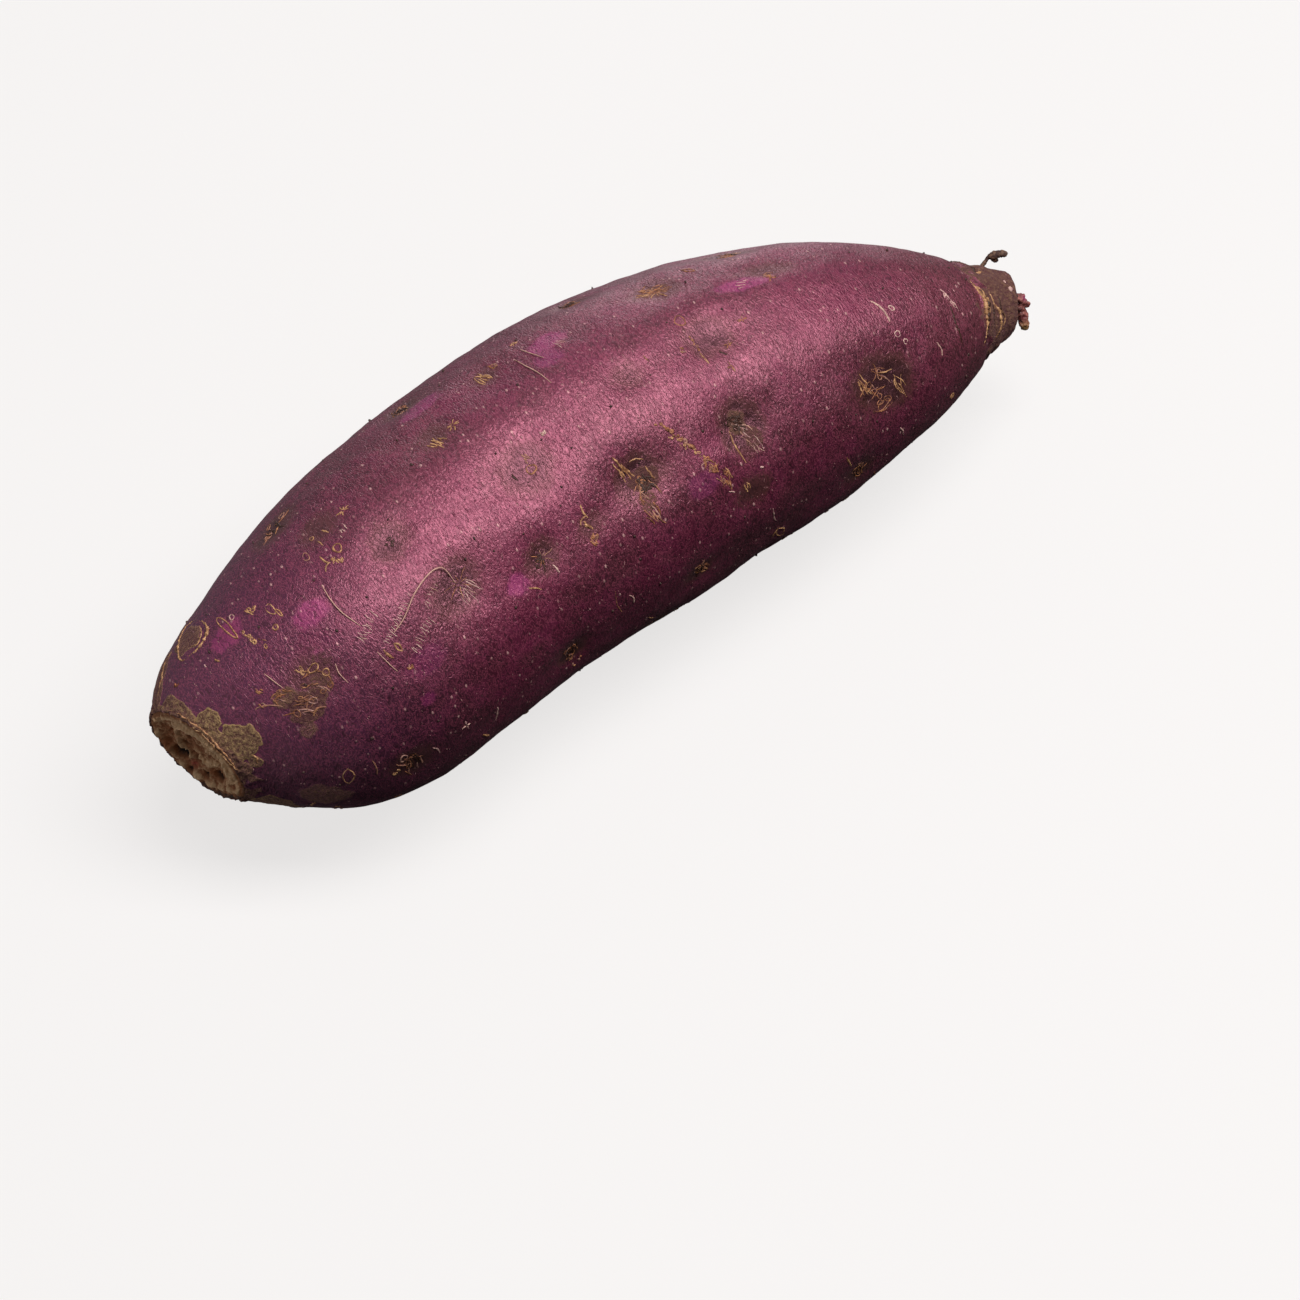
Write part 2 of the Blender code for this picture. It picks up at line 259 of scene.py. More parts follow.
def skin_state(along, around):
    """Masks from 0 to 1 over the skin: cork, khaki, peeled and stained, with ragged edges."""
    ragged = random_relief(root_points(along, around), NOTCH_SIZE, 4)
    cork = ramp(CORK_EDGE - along + RIM_RAGGED * ragged, -0.003, 0.004)
    tip = ramp(along - TIP_CORK + TIP_RAGGED * ragged, -0.008, 0.008)
    khaki = RIM_KHAKI * cork
    cork = np.maximum(cork, tip)
    khaki = khaki * (1 - tip) + TIP_KHAKI * tip
    for spot in CORK:
        inside = 1 - np.sqrt(spread(along, around, spot)) + NOTCH_DEPTH * ragged
        patch = spot[5] * ramp(inside, -0.06, 0.26)
        khaki = np.where(patch > cork, spot[4], khaki)
        cork = np.maximum(cork, patch)
    peeled = np.zeros_like(along + around)
    for spot in PEELED:
        inside = 1 - np.sqrt(spread(along, around, spot)) + NOTCH_DEPTH * ragged
        patch = ramp(inside, -0.15, 0.45)
        khaki = np.where((patch > peeled) & (cork < 0.1), spot[4], khaki)
        peeled = np.maximum(peeled, patch)
    stained = np.zeros_like(peeled)
    for at, degrees, half_length, half_width, depth in [*EYES[:-1], *HIDDEN]:
        eye = (at, degrees, STAIN_LENGTH * half_length, STAIN_WIDTH * half_width)
        strength = 0.35 + 0.55 * min(depth, 1.2)
        stain = strength * bell(spread(along, around, eye) ** 0.6 + 0.25 * ragged)
        stained = np.maximum(stained, stain)
    return cork, khaki, peeled * (1 - cork), stained * (1 - cork)


def fine_height(along, around, state=None):
    """Height of the fine relief over the solid's surface, in metres."""
    points = root_points(along, around)
    cork, _, peeled, stained = state or skin_state(along, around)
    lumps = sum(height * random_relief(points, size) for size, height in LUMPS)
    crust = random_relief(points, CRUST_SIZE, 4)
    torn = ramp(TORN_END - along, 0, TORN_FADE) * random_relief(points, TORN_SIZE)
    raised = cork * (CORK_RISE + CORK_CRUST * crust) + TORN_HEIGHT * torn
    raised = raised - PEEL_DEPTH * peeled + STAIN_CRUST * stained * crust
    return (lumps + raised) * MM


def skin_points(along, around, lift=0.0, height=None):
    """Points on the finished skin, lifted by a height in mm, and the skin's direction outward."""
    step_along, step_around = 0.0008, 0.25  # a share of the length, and degrees
    lengthwise = root_points(along + step_along, around) - root_points(along - step_along, around)
    sideways = root_points(along, around + step_around) - root_points(along, around - step_around)
    outward = np.cross(sideways, lengthwise)
    outward /= np.linalg.norm(outward, axis=-1, keepdims=True)
    height = fine_height(along, around) if height is None else height
    points = root_points(along, around) + outward * (height + lift * MM)[..., None]
    points[..., 2] = np.maximum(points[..., 2], 0)
    return points, outward


test, outward = skin_points(np.array([0.5]), np.array([0.0]))
print("the top of the belly is at", test.round(4), "and faces", outward.round(2))

# %% [markdown]
# ## The skin's surface
#
# The skin could be a subdivided copy of the solid, but then its rings wouldn't follow the root. A
# fresh grid of rings does: they lie closer together at both ends, where the form turns fastest.
# Each point keeps the masks as attributes, and the material reads them.

# %% Helpers for a piece's mesh
RINGS, COLUMNS = 366, 264  # keeps the skin just under 200,000 triangles


def grid_faces(rows, columns):
    """Faces of a grid of rings, each closed on itself, that point outward."""
    row, column = np.meshgrid(np.arange(rows - 1), np.arange(columns), indexing="ij")
    here = row * columns + column
    beside = row * columns + (column + 1) % columns
    return np.stack([here, beside, beside + columns, here + columns], -1).reshape(-1, 4).tolist()


def cap_faces(columns, ring, pole, at_start):
    """Triangles that close the ring that starts at a given point with a pole."""
    pairs = [(ring + k, ring + (k + 1) % columns) for k in range(columns)]
    return [(pole, b, a) if at_start else (a, b, pole) for a, b in pairs]


def closed_faces(rows, columns):
    """Faces of a grid of rings that is closed at both ends by the two points that follow it."""
    end = rows * columns
    faces = grid_faces(rows, columns) + cap_faces(columns, 0, end, True)
    return faces + cap_faces(columns, end - columns, end + 1, False)


def show(name, data):
    """An object for some data, in the scene."""
    made = bpy.data.objects.new(name, data)
    bpy.context.scene.collection.objects.link(made)
    return made


def give(mesh, title, values):
    """Gives each point of a mesh a value that materials and node trees can read."""
    layer = mesh.attributes.new(title, "FLOAT", "POINT")
    layer.data.foreach_set("value", np.ravel(values).astype(np.float32))


def say_size(piece):
    """Prints how large a piece's mesh is."""
    triangles = sum(len(polygon.vertices) - 2 for polygon in piece.data.polygons)
    print(f"{piece.name}: {len(piece.data.vertices)} points, {triangles} triangles")


def keep_made(piece):
    """Keeps what a piece's modifiers make as its plain mesh."""
    graph = bpy.context.evaluated_depsgraph_get()
    mesh = bpy.data.meshes.new_from_object(piece.evaluated_get(graph))
    piece.modifiers.clear()
    piece.data = mesh


def make_piece(name, points, faces, material, attributes=None):
    """A smooth-shaded piece whose place is in its mesh, with its material and attributes."""
    mesh = bpy.data.meshes.new(name)
    mesh.from_pydata([tuple(p) for p in np.reshape(points, (-1, 3)).tolist()], [], faces)
    for title, values in (attributes or {}).items():
        give(mesh, title, values)
    mesh.materials.append(material)
    mesh.shade_smooth()
    piece = show(name, mesh)
    say_size(piece)
    return piece


# %% [markdown]
# ## Small helpers for materials
#
# Colours are picked as sRGB hex values and turned to linear light by one function. Another adds
# a node with its settings and links, for materials and for geometry alike. Most finishes here are
# layers of colour, each over the ones before it, which a loop lays from a short list.

# %% Colour and node helpers
PER_MM = 1000  # a noise scale of PER_MM / size gives lumps of that size in mm
RGBA = {"data_type": "RGBA"}
SMOOTH = {"interpolation_type": "SMOOTHSTEP"}


def linear(hex_colour):
    """An sRGB hex colour as linear red, green, blue and alpha."""
    parts = [int(hex_colour[i:i + 2], 16) / 255 for i in (1, 3, 5)]
    return tuple(c / 12.92 if c <= 0.04045 else ((c + 0.055) / 1.055) ** 2.4 for c in parts) + (1.0,)


def fill(tree, made, inputs):
    """Links each named input of a node to another's output, or sets it to a plain value."""
    for socket, value in inputs.items():
        if isinstance(value, bpy.types.NodeSocket):
            tree.links.new(value, made.inputs[socket])
        else:
            made.inputs[socket].default_value = value


def add(tree, kind, settings=None, inputs=None, out=0):
    """Adds a node with its settings and links. Gives one of its outputs, or the node for None."""
    made = tree.nodes.new(kind)
    for title, value in (settings or {}).items():
        setattr(made, title, value)
    fill(tree, made, inputs or {})
    return made if out is None else made.outputs[out]


def new_material(name):
    """An empty Principled material: its tree, its shader, and the piece's own coordinates."""
    material = bpy.data.materials.new(name)
    material.use_nodes = True
    tree = material.node_tree
    shader = tree.nodes["Principled BSDF"]
    place = add(tree, "ShaderNodeTexCoord", out="Object")
    return material, tree, shader, place


# %% [markdown]
# ## The periderm
#
# The skin of a sweet potato is periderm: a few layers of thin cork cells over purple flesh, grown
# in soil and washed. The cells are clear, so the colour comes from below, deep wine with
# duller violet near the stem. The dry top layer is finely wrinkled. That gives a satin shine that
# breaks up into fine pale worm-like lines, about half a millimetre apart. Where the skin has
# healed it is corky brown, around the eyes it is stained olive, and where it is rubbed off the
# fresh layer below is magenta.

# %% Periderm: the colours of the clear skin
skin_stuff, tree, shader, place = new_material("sweet_potato_periderm")
clouds = add(tree, "ShaderNodeTexNoise", {},
             {"Vector": place, "Scale": PER_MM / 18, "Detail": 3, "Roughness": 0.55})
patches = add(tree, "ShaderNodeTexNoise", {},
              {"Vector": place, "Scale": PER_MM / 5, "Detail": 5, "Roughness": 0.65, "Distortion": 0.4})
faded = add(tree, "ShaderNodeTexNoise", {},
            {"Vector": place, "Scale": PER_MM / 11, "Detail": 3, "Roughness": 0.6, "Distortion": 0.3})
along_x = add(tree, "ShaderNodeSeparateXYZ", {}, {0: place}, out="X")
# What a layer follows, where it starts and is full, how much it covers, and its colour
CLEAR = ((clouds, 0.36, 0.64, 1.0, "#4e0b2a"),
         (patches, 0.45, 0.66, 0.60, "#560932"),
         (faded, 0.50, 0.68, 0.80, "#431d26"),
         (along_x, -0.035, -0.080, 0.85, "#351536"),  # dusky toward the stem, in metres
         (along_x, 0.050, 0.074, 0.65, "#4c2a2a"))  # dry toward the tip
colour = linear("#320b17")
for pattern, start, full, most, over in CLEAR:
    share = add(tree, "ShaderNodeMapRange", SMOOTH,
                {"Value": pattern, "From Min": start, "From Max": full, "To Max": most})
    colour = add(tree, "ShaderNodeMix", RGBA, {0: share, 6: colour, 7: linear(over)}, out=2)

# %% Periderm: peeled places from the piece's masks, with a deeper and a lighter magenta
masks = {title: add(tree, "ShaderNodeAttribute", {"attribute_name": title}, out="Fac")
         for title in ("cork", "khaki", "peeled", "stained")}
fresh = add(tree, "ShaderNodeMix", RGBA,
            {0: patches, 6: linear("#72164a"), 7: linear("#9e3a76")}, out=2)
fresh = add(tree, "ShaderNodeMix", RGBA, {0: masks["khaki"], 6: fresh, 7: linear("#460a32")}, out=2)
bare = add(tree, "ShaderNodeMapRange", SMOOTH,
           {"Value": masks["peeled"], "From Min": 0.05, "From Max": 0.90, "To Max": 0.92})
colour = add(tree, "ShaderNodeMix", RGBA, {0: bare, 6: colour, 7: fresh}, out=2)

# %% Periderm: the fine wrinkled grain, 0.5 mm apart along the root and 1 mm around it, with painted shade in its hollows
GRAIN_ALONG, GRAIN_AROUND = 0.50, 1.05
stretched = add(tree, "ShaderNodeVectorMath", {"operation": "MULTIPLY"},
                {0: place, 1: (PER_MM / GRAIN_ALONG, PER_MM / GRAIN_AROUND, PER_MM / GRAIN_AROUND)})
grain = add(tree, "ShaderNodeTexNoise", {},
            {"Vector": stretched, "Scale": 1, "Detail": 2, "Roughness": 0.55, "Distortion": 1.3})
off_middle = add(tree, "ShaderNodeMath", {"operation": "SUBTRACT"}, {0: grain, 1: 0.5})
off_middle = add(tree, "ShaderNodeMath", {"operation": "ABSOLUTE"}, {0: off_middle})
# The pale worm-like lines are partly the skin's own paler grain and partly painted glints of the shine
# on the wrinkles. The dark layer is painted shade: darker colour where the grain's bump is low, in its
# hollows.
GRAIN_LINES_AND_HOLLOW_SHADE = ((off_middle, 0.06, 0.0, 0.42, "#aa5268"),  # pale worm-like lines
           (grain, 0.45, 0.34, 0.7, "#240813"))  # dark hollows
for pattern, start, full, most, over in GRAIN_LINES_AND_HOLLOW_SHADE:
    share = add(tree, "ShaderNodeMapRange", SMOOTH,
                {"Value": pattern, "From Min": start, "From Max": full, "To Max": most})
    colour = add(tree, "ShaderNodeMix", RGBA, {0: share, 6: colour, 7: linear(over)}, out=2)

# %% Periderm: pale breathing pores, one cell of about 1.3 mm in three has one
PORE_ALONG, PORE_AROUND = 1.0, 1.7
pore_place = add(tree, "ShaderNodeVectorMath", {"operation": "MULTIPLY"},
                 {0: place, 1: (PER_MM / PORE_ALONG, PER_MM / PORE_AROUND, PER_MM / PORE_AROUND)})
cells = add(tree, "ShaderNodeTexVoronoi", {}, {"Vector": pore_place, "Scale": 1}, out=None).outputs
pore = add(tree, "ShaderNodeMapRange", SMOOTH,
           {"Value": cells["Distance"], "From Min": 0.26, "From Max": 0.10})
chosen = add(tree, "ShaderNodeSeparateXYZ", {}, {0: cells["Color"]}, out="X")
chosen = add(tree, "ShaderNodeMapRange", {}, {"Value": chosen, "From Min": 0.70, "From Max": 1.05})
pore = add(tree, "ShaderNodeMath", {"operation": "MULTIPLY"}, {0: pore, 1: chosen})
colour = add(tree, "ShaderNodeMix", RGBA, {0: pore, 6: colour, 7: linear("#cfa39d")}, out=2)

# %% Periderm: stained and corky places
speckled = add(tree, "ShaderNodeMath", {"operation": "MULTIPLY_ADD"},
               {0: grain, 1: 0.9, 2: masks["stained"]})
STAINED = ((speckled, 0.55, 0.95, 0.75, "#452b21"), (speckled, 0.85, 1.20, 0.85, "#160a07"))
for pattern, start, full, most, over in STAINED:
    share = add(tree, "ShaderNodeMapRange", SMOOTH,
                {"Value": pattern, "From Min": start, "From Max": full, "To Max": most})
    colour = add(tree, "ShaderNodeMix", RGBA, {0: share, 6: colour, 7: linear(over)}, out=2)
crumbs = add(tree, "ShaderNodeTexNoise", {},
             {"Vector": place, "Scale": PER_MM / 0.6, "Detail": 4, "Roughness": 0.7})
worn = add(tree, "ShaderNodeMath", {"operation": "MULTIPLY_ADD"}, {0: crumbs, 1: 0.9, 2: masks["cork"]})
corky = add(tree, "ShaderNodeMapRange", SMOOTH,
            {"Value": worn, "From Min": 0.66, "From Max": 1.0, "To Max": 0.96})
crumbs = add(tree, "ShaderNodeMapRange", SMOOTH, {"Value": crumbs, "From Min": 0.35, "From Max": 0.68})
umber, dusty = (add(tree, "ShaderNodeMix", RGBA, {0: crumbs, 6: linear(low), 7: linear(high)}, out=2)
                for low, high in (("#20110a", "#503828"), ("#4a3a20", "#a08a54")))
cork_colour = add(tree, "ShaderNodeMix", RGBA, {0: masks["khaki"], 6: umber, 7: dusty}, out=2)
colour = add(tree, "ShaderNodeMix", RGBA, {0: corky, 6: colour, 7: cork_colour}, out=2)

# %% Periderm: the golden edge of khaki cork
EDGE_AT, EDGE_STRENGTH = 0.42, 0.75  # where on the cork mask it lies, and how strong it is
edge = add(tree, "ShaderNodeMath", {"operation": "SUBTRACT"}, {0: masks["cork"], 1: EDGE_AT})
edge = add(tree, "ShaderNodeMath", {"operation": "ABSOLUTE"}, {0: edge})
edge = add(tree, "ShaderNodeMapRange", SMOOTH, {"Value": edge, "From Min": 0.24, "From Max": 0.05})
for factor in (masks["khaki"], EDGE_STRENGTH):
    edge = add(tree, "ShaderNodeMath", {"operation": "MULTIPLY"}, {0: edge, 1: factor})
colour = add(tree, "ShaderNodeMix", RGBA, {0: edge, 6: colour, 7: linear("#a89050")}, out=2)

# %% Periderm: shine and bump
shine = add(tree, "ShaderNodeMapRange", {},
            {"Value": patches, "From Min": 0.3, "From Max": 0.7, "To Min": 0.40, "To Max": 0.52})
roughness = add(tree, "ShaderNodeMix", {"data_type": "FLOAT"}, {0: corky, 2: shine, 3: 0.85})
wrinkles = add(tree, "ShaderNodeBump", {},
               {"Strength": 1.0, "Distance": 0.20 * MM, "Height": grain}, out="Normal")
crusts = add(tree, "ShaderNodeMath", {"operation": "MULTIPLY"}, {0: crumbs, 1: corky})
for height, depth in ((crusts, 0.25), (pore, 0.10)):
    wrinkles = add(tree, "ShaderNodeBump", {},
                   {"Strength": 0.8, "Distance": depth * MM, "Height": height, "Normal": wrinkles},
                   out="Normal")
fill(tree, shader, {"Base Color": colour, "Roughness": roughness, "Normal": wrinkles, "IOR": 1.75,
                    "Specular IOR Level": 1.0, "Specular Tint": linear("#ffa6bc"),
                    "Sheen Weight": 0.05, "Sheen Roughness": 0.45, "Sheen Tint": linear("#d8c4c8")})
print("periderm material:", len(tree.nodes), "nodes")

# %% Build the skin: a lip inside the scar, the body, and the dome of the tip
LIP = ((0.80, 6.0), (0.90, 5.0), (0.975, 2.5), (0.990, 0.9))  # share of the scar, depth in mm
LIP_POLE = 6.5  # mm deep
DOME_SHARES = (0.93, 0.84, 0.72, 0.57, 0.40, 0.20)
LIP_MASKS, DOME_MASKS = (1, 0.8, 0, 0), (1, TIP_KHAKI, 0, 0)
END_CROWDING, END_REACH = 1.3, 0.08
fine = np.linspace(0, 1, 2001)
crowd = np.cumsum(1 + END_CROWDING * (bell(fine / END_REACH) + bell((1 - fine) / END_REACH)))
crowd = (crowd - crowd[0]) / (crowd[-1] - crowd[0])
rings = np.interp(np.linspace(0, 1, RINGS), crowd, fine)
degrees = np.arange(COLUMNS) * 360 / COLUMNS
along, around = np.meshgrid(rings, degrees, indexing="ij")
state = skin_state(along, around)
body, outward = skin_points(along, around, height=fine_height(along, around, state))
lip = [root_points(0, degrees, share) + (depth * MM, 0, 0) for share, depth in LIP]
dome = []
for share in DOME_SHARES:
    ring = root_points(1, degrees, share) - (smooth(DOME, share) * MM, 0, 0)
    crust = CORK_RISE + CORK_CRUST * random_relief(ring, CRUST_SIZE, 4)
    dome.append(ring + outward[-1] * (share * crust * MM)[:, None])
points = np.concatenate([np.reshape(part, (-1, 3)) for part in (lip, body, dome)])
inner = root_points(0, 0, 0) + (LIP_POLE * MM, 0, 0)
outer = root_points(1, 0, 0) - (DOME[0][1] * MM, 0, 0)
attributes = {}
for title, values, at_lip, at_dome in zip(masks, state, LIP_MASKS, DOME_MASKS):
    before = np.full(len(LIP) * COLUMNS, at_lip)
    after = np.full(len(DOME_SHARES) * COLUMNS, at_dome)
    attributes[title] = np.concatenate([before, np.ravel(values), after, [at_lip, at_dome]])
faces = closed_faces(len(LIP) + RINGS + len(DOME_SHARES), COLUMNS)
skin = make_piece("skin", [*points, inner, outer], faces, skin_stuff, attributes)
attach(skin, "root")
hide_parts("sweet_potato")

# %% [markdown]
# ## The stem scar
#
# Where the root was pulled from its stem, the end has dried into a shallow crater of torn, brown
# cork: ridges of fibre, deep holes where the vessels ran, and a pale edge of skin around it. It
# could be a flat disc with a bump map, but the holes are as deep as they are wide, so it is real
# relief here, on a round grid whose outer edge is buried in the skin's lip.

# %% Dried cork tissue
scar_stuff, tree, shader, place = new_material("dried_cork_tissue")
# The tone attribute is painted light and shade: paler where the tissue stands high, darker in its holes
# and on the lower part of the rim.
depth = add(tree, "ShaderNodeAttribute", {"attribute_name": "tone"}, out="Fac")
fibre = add(tree, "ShaderNodeTexNoise", {},
            {"Vector": place, "Scale": PER_MM / 0.8, "Detail": 4, "Roughness": 0.7, "Distortion": 0.8})
level = add(tree, "ShaderNodeMath", {"operation": "MULTIPLY_ADD"}, {0: fibre, 1: 0.7, 2: depth})
tissue = add(tree, "ShaderNodeMapRange", SMOOTH, {"Value": level, "From Min": 0.36, "From Max": 1.0})
colour = add(tree, "ShaderNodeMix", RGBA,
             {0: tissue, 6: linear("#1e0b05"), 7: linear("#9a6038")}, out=2)
ridges = add(tree, "ShaderNodeMapRange", SMOOTH, {"Value": level, "From Min": 0.98, "From Max": 1.45})
colour = add(tree, "ShaderNodeMix", RGBA, {0: ridges, 6: colour, 7: linear("#e0b88c")}, out=2)
for title, stain in (("amber", "#8f4f20"), ("red", "#ac4a38")):
    mask = add(tree, "ShaderNodeAttribute", {"attribute_name": title}, out="Fac")
    mask = add(tree, "ShaderNodeMath", {"operation": "MULTIPLY"}, {0: mask, 1: tissue})
    colour = add(tree, "ShaderNodeMix", RGBA, {0: mask, 6: colour, 7: linear(stain)}, out=2)
rough = add(tree, "ShaderNodeBump", {},
            {"Strength": 0.9, "Distance": 0.25 * MM, "Height": fibre}, out="Normal")
fill(tree, shader, {"Base Color": colour, "Normal": rough, "Roughness": 0.72})

# %% Relief of the scar
# Holes: share of the radius, degrees around, radius and depth in mm
HOLES = ((0.52, 4, 0.75, 1.5), (0.42, 22, 0.6, 0.9), (0.66, -135, 1.35, 2.0), (0.44, -168, 1.0, 1.5),
         (0.60, 150, 0.95, 1.4), (0.40, -110, 0.7, 0.8), (0.72, 178, 0.7, 1.1), (0.20, 70, 0.7, 0.9),
         (0.86, -160, 0.6, 0.9), (0.30, -60, 0.6, 0.7), (0.78, 120, 0.6, 0.8))
# Ridges: share of the radius, from and to in degrees around, height in mm, half width as a share
RIDGES = ((0.86, -75, 125, 0.35, 0.045), (0.66, -50, 100, 1.1, 0.08), (0.52, -150, -60, 0.8, 0.06),
          (0.84, -178, -95, 0.5, 0.06), (0.30, 90, 200, 0.7, 0.07), (0.80, 130, 178, 0.5, 0.06))
# Stains: share of the radius, degrees around, radius in mm
AMBER = ((0.84, -117, 2.2), (0.62, -85, 1.6), (0.55, 165, 1.2))
RED = ((0.46, -44, 1.1), (0.70, -160, 0.7))
BEHIND = ((0.50, 5.6), (0.88, 4.6), (1.01, 1.8))  # the hidden back: share of the radius, depth in mm
BACK_POLE = 5.8  # mm deep
# Tissue: lumps across and height in mm
RAGGED_SIZE, RAGGED_HEIGHT = 1.7, 0.42
LUMP_SIZE, LUMP_HEIGHT = 2.6, 0.45
FIBRE_SIZE, FIBRE_HEIGHT = 1.1, 0.34
TWIST_SIZE, TWIST = 4.0, 0.05  # how far the ridges wander, as a share of the radius
HOLE_RAGGED = 0.16
SCAR_ROWS, SCAR_COLUMNS = 100, 300
SCAR_OUTSIDE, SCAR_MIDDLE, SCAR_BURIED = 0.985, 0.02, 0.97  # shares of the radius
SCAR_RADIUS = BELLY * GIRTH[0][1]


def on_face(share, around):
    """Places on the scar's face in mm, across and up."""
    angle = np.radians(around)
    return share * SCAR_RADIUS / MM * np.sin(angle), share * SCAR_RADIUS / MM * np.cos(angle)


def near(share, around, spot):
    """A soft mask around a spot of the scar: 1 in its middle."""
    across, up = on_face(share, around)
    spot_across, spot_up = on_face(spot[0], spot[1])
    return np.exp(-((across - spot_across)**2 + (up - spot_up)**2) / spot[2]**2)


def scar_height(share, around, plain):
    """Height of the scar's tissue over the end's plane in mm, and its tone, which paints light and
    shade: paler where the tissue stands high, darker in the holes and on the lower part of the rim.
    """
    height = -smooth(CRATER, share)
    twist = TWIST * random_relief(plain, TWIST_SIZE, 2)
    for at, start, end, lift, half_width in RIDGES:
        middle, reach = (start + end) / 2, (end - start) / 2
        fade = ramp(1.15 - np.abs(turn(around, middle)) / reach, 0, 0.3)
        height = height + lift * fade * bell((share + twist - at) / half_width)
    ragged = random_relief(plain, RAGGED_SIZE, 4)
    for hole in HOLES:
        inside = near(share, around, hole) + HOLE_RAGGED * ragged
        height = height - hole[3] * ramp(inside, 0.15, 0.75)
    fibres = 1 - 2 * np.abs(random_relief(plain, FIBRE_SIZE))
    lumpy = random_relief(plain + 0.01, LUMP_SIZE)
    height = height + LUMP_HEIGHT * lumpy * ramp(1 - share, 0, 0.15) + RAGGED_HEIGHT * ragged
    height = height + FIBRE_HEIGHT * fibres * ramp(1 - share, 0, 0.1)
    # Painted shade: the lower part of the rim is darkened, and the tone follows the height, so the
    # holes are darker and the ridges paler.
    under = ramp(share, 0.86, 0.97) * ramp(-np.cos(np.radians(around + 60)), -0.2, 0.5)
    tone = 0.60 + 0.50 * (height + smooth(CRATER, share)) / 0.8 - 0.35 * under
    return height, np.clip(tone, 0, 1)


def with_back(values):
    """The front's values, with zeros for the points behind it and its own middle for the poles."""
    return np.concatenate([np.zeros(len(BEHIND) * SCAR_COLUMNS), np.ravel(values),
                           [0, np.mean(values[-1])]])


# %% Build the scar
degrees = np.arange(SCAR_COLUMNS) * 360 / SCAR_COLUMNS
shares = np.linspace(SCAR_OUTSIDE, SCAR_MIDDLE, SCAR_ROWS)
share, around = np.meshgrid(shares, degrees, indexing="ij")
plain = root_points(0, around, share)
scar_out = np.array((-1, SCAR_LEAN[0], SCAR_LEAN[1]))
scar_out = scar_out / np.linalg.norm(scar_out)
height, tone = scar_height(share, around, plain)
height = np.where(share > SCAR_BURIED, np.minimum(height, 0), height)
front = plain + scar_out * (height * MM)[..., None]
back = [root_points(0, degrees, part) + (deep * MM, 0, 0) for part, deep in BEHIND]
points = np.concatenate([np.reshape(part, (-1, 3)) for part in (back, front)])
back_pole = root_points(0, 0, 0) + (BACK_POLE * MM, 0, 0)
faces = [face[::-1] for face in closed_faces(len(BEHIND) + SCAR_ROWS, SCAR_COLUMNS)]
attributes = {"tone": with_back(tone)}
for title, spots in (("amber", AMBER), ("red", RED)):
    stain = np.max([near(share, around, spot) for spot in spots], axis=0)
    attributes[title] = with_back(stain)
scar = make_piece("stem_scar", [*points, back_pole, front[-1].mean(axis=0)], faces, scar_stuff,
                  attributes)
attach(scar, "root")

# %% [markdown]
# ## Strands: one tree for everything that is thin and long
#
# Cork lines, dried root hairs and the rootlet are all strands that follow a path. They could be
# curves with a bevel. Here one Geometry Nodes tree turns a mesh of plain lines into tubes, and each
# point brings its own thickness, so a strand can swell and taper.

# %% The strand tree
STRAND_SOCKETS = (("Geometry", "NodeSocketGeometry"), ("Width", "NodeSocketFloat"),
                  ("Sides", "NodeSocketInt"), ("Material", "NodeSocketMaterial"))


def new_tree(name, sockets):
    """A Geometry Nodes tree with named inputs: the tree, and what its input node gives."""
    made = bpy.data.node_groups.new(name, "GeometryNodeTree")
    for title, kind in sockets:
        made.interface.new_socket(title, in_out="INPUT", socket_type=kind)
    made.interface.new_socket("Geometry", in_out="OUTPUT", socket_type="NodeSocketGeometry")
    return made, add(made, "NodeGroupInput", out=None).outputs


def end_tree(made, geometry, material):
    """Ends a tree in Realize Instances and Set Material."""
    plain_mesh = add(made, "GeometryNodeRealizeInstances", {}, {"Geometry": geometry})
    painted = add(made, "GeometryNodeSetMaterial", {}, {"Geometry": plain_mesh, "Material": material})
    add(made, "NodeGroupOutput", {}, {"Geometry": painted}, out=None)


strands, given = new_tree("strands", STRAND_SOCKETS)
path = add(strands, "GeometryNodeMeshToCurve", {}, {"Mesh": given["Geometry"]})
section = add(strands, "GeometryNodeCurvePrimitiveCircle", {}, {"Resolution": given["Sides"]})
thick = add(strands, "GeometryNodeInputNamedAttribute", {}, {"Name": "thick"})
radius = add(strands, "ShaderNodeMath", {"operation": "MULTIPLY"}, {0: thick, 1: given["Width"]})
tube = add(strands, "GeometryNodeCurveToMesh", {},
           {"Curve": path, "Profile Curve": section, "Scale": radius, "Fill Caps": True})
tube = add(strands, "GeometryNodeSetShadeSmooth", {}, {"Geometry": tube})
end_tree(strands, tube, given["Material"])


def run_tree(piece, made, values):
    """Runs a tree on a piece with values for its named inputs, and keeps the result as plain mesh."""
    modifier = piece.modifiers.new("made", "NODES")
    modifier.node_group = made
    for item in made.interface.items_tree:
        if item.in_out == "INPUT" and item.name in values:
            modifier[item.identifier] = values[item.name]
    keep_made(piece)
    say_size(piece)
    return piece


def grow(name, lines, material, sides=6):
    """Tubes along lines. Each line is its points, a radius for each in mm, and one tone."""
    mesh = bpy.data.meshes.new(name)
    starts = np.cumsum([0] + [len(line[0]) for line in lines])
    edges = [(i, i + 1) for a, b in zip(starts[:-1], starts[1:]) for i in range(a, b - 1)]
    mesh.from_pydata(np.concatenate([line[0] for line in lines]).tolist(), edges, [])
    give(mesh, "thick", np.concatenate([line[1] for line in lines]))
    give(mesh, "tone", np.concatenate([np.full(len(line[0]), line[2]) for line in lines]))
    return run_tree(show(name, mesh), strands, {"Width": MM, "Sides": sides, "Material": material})


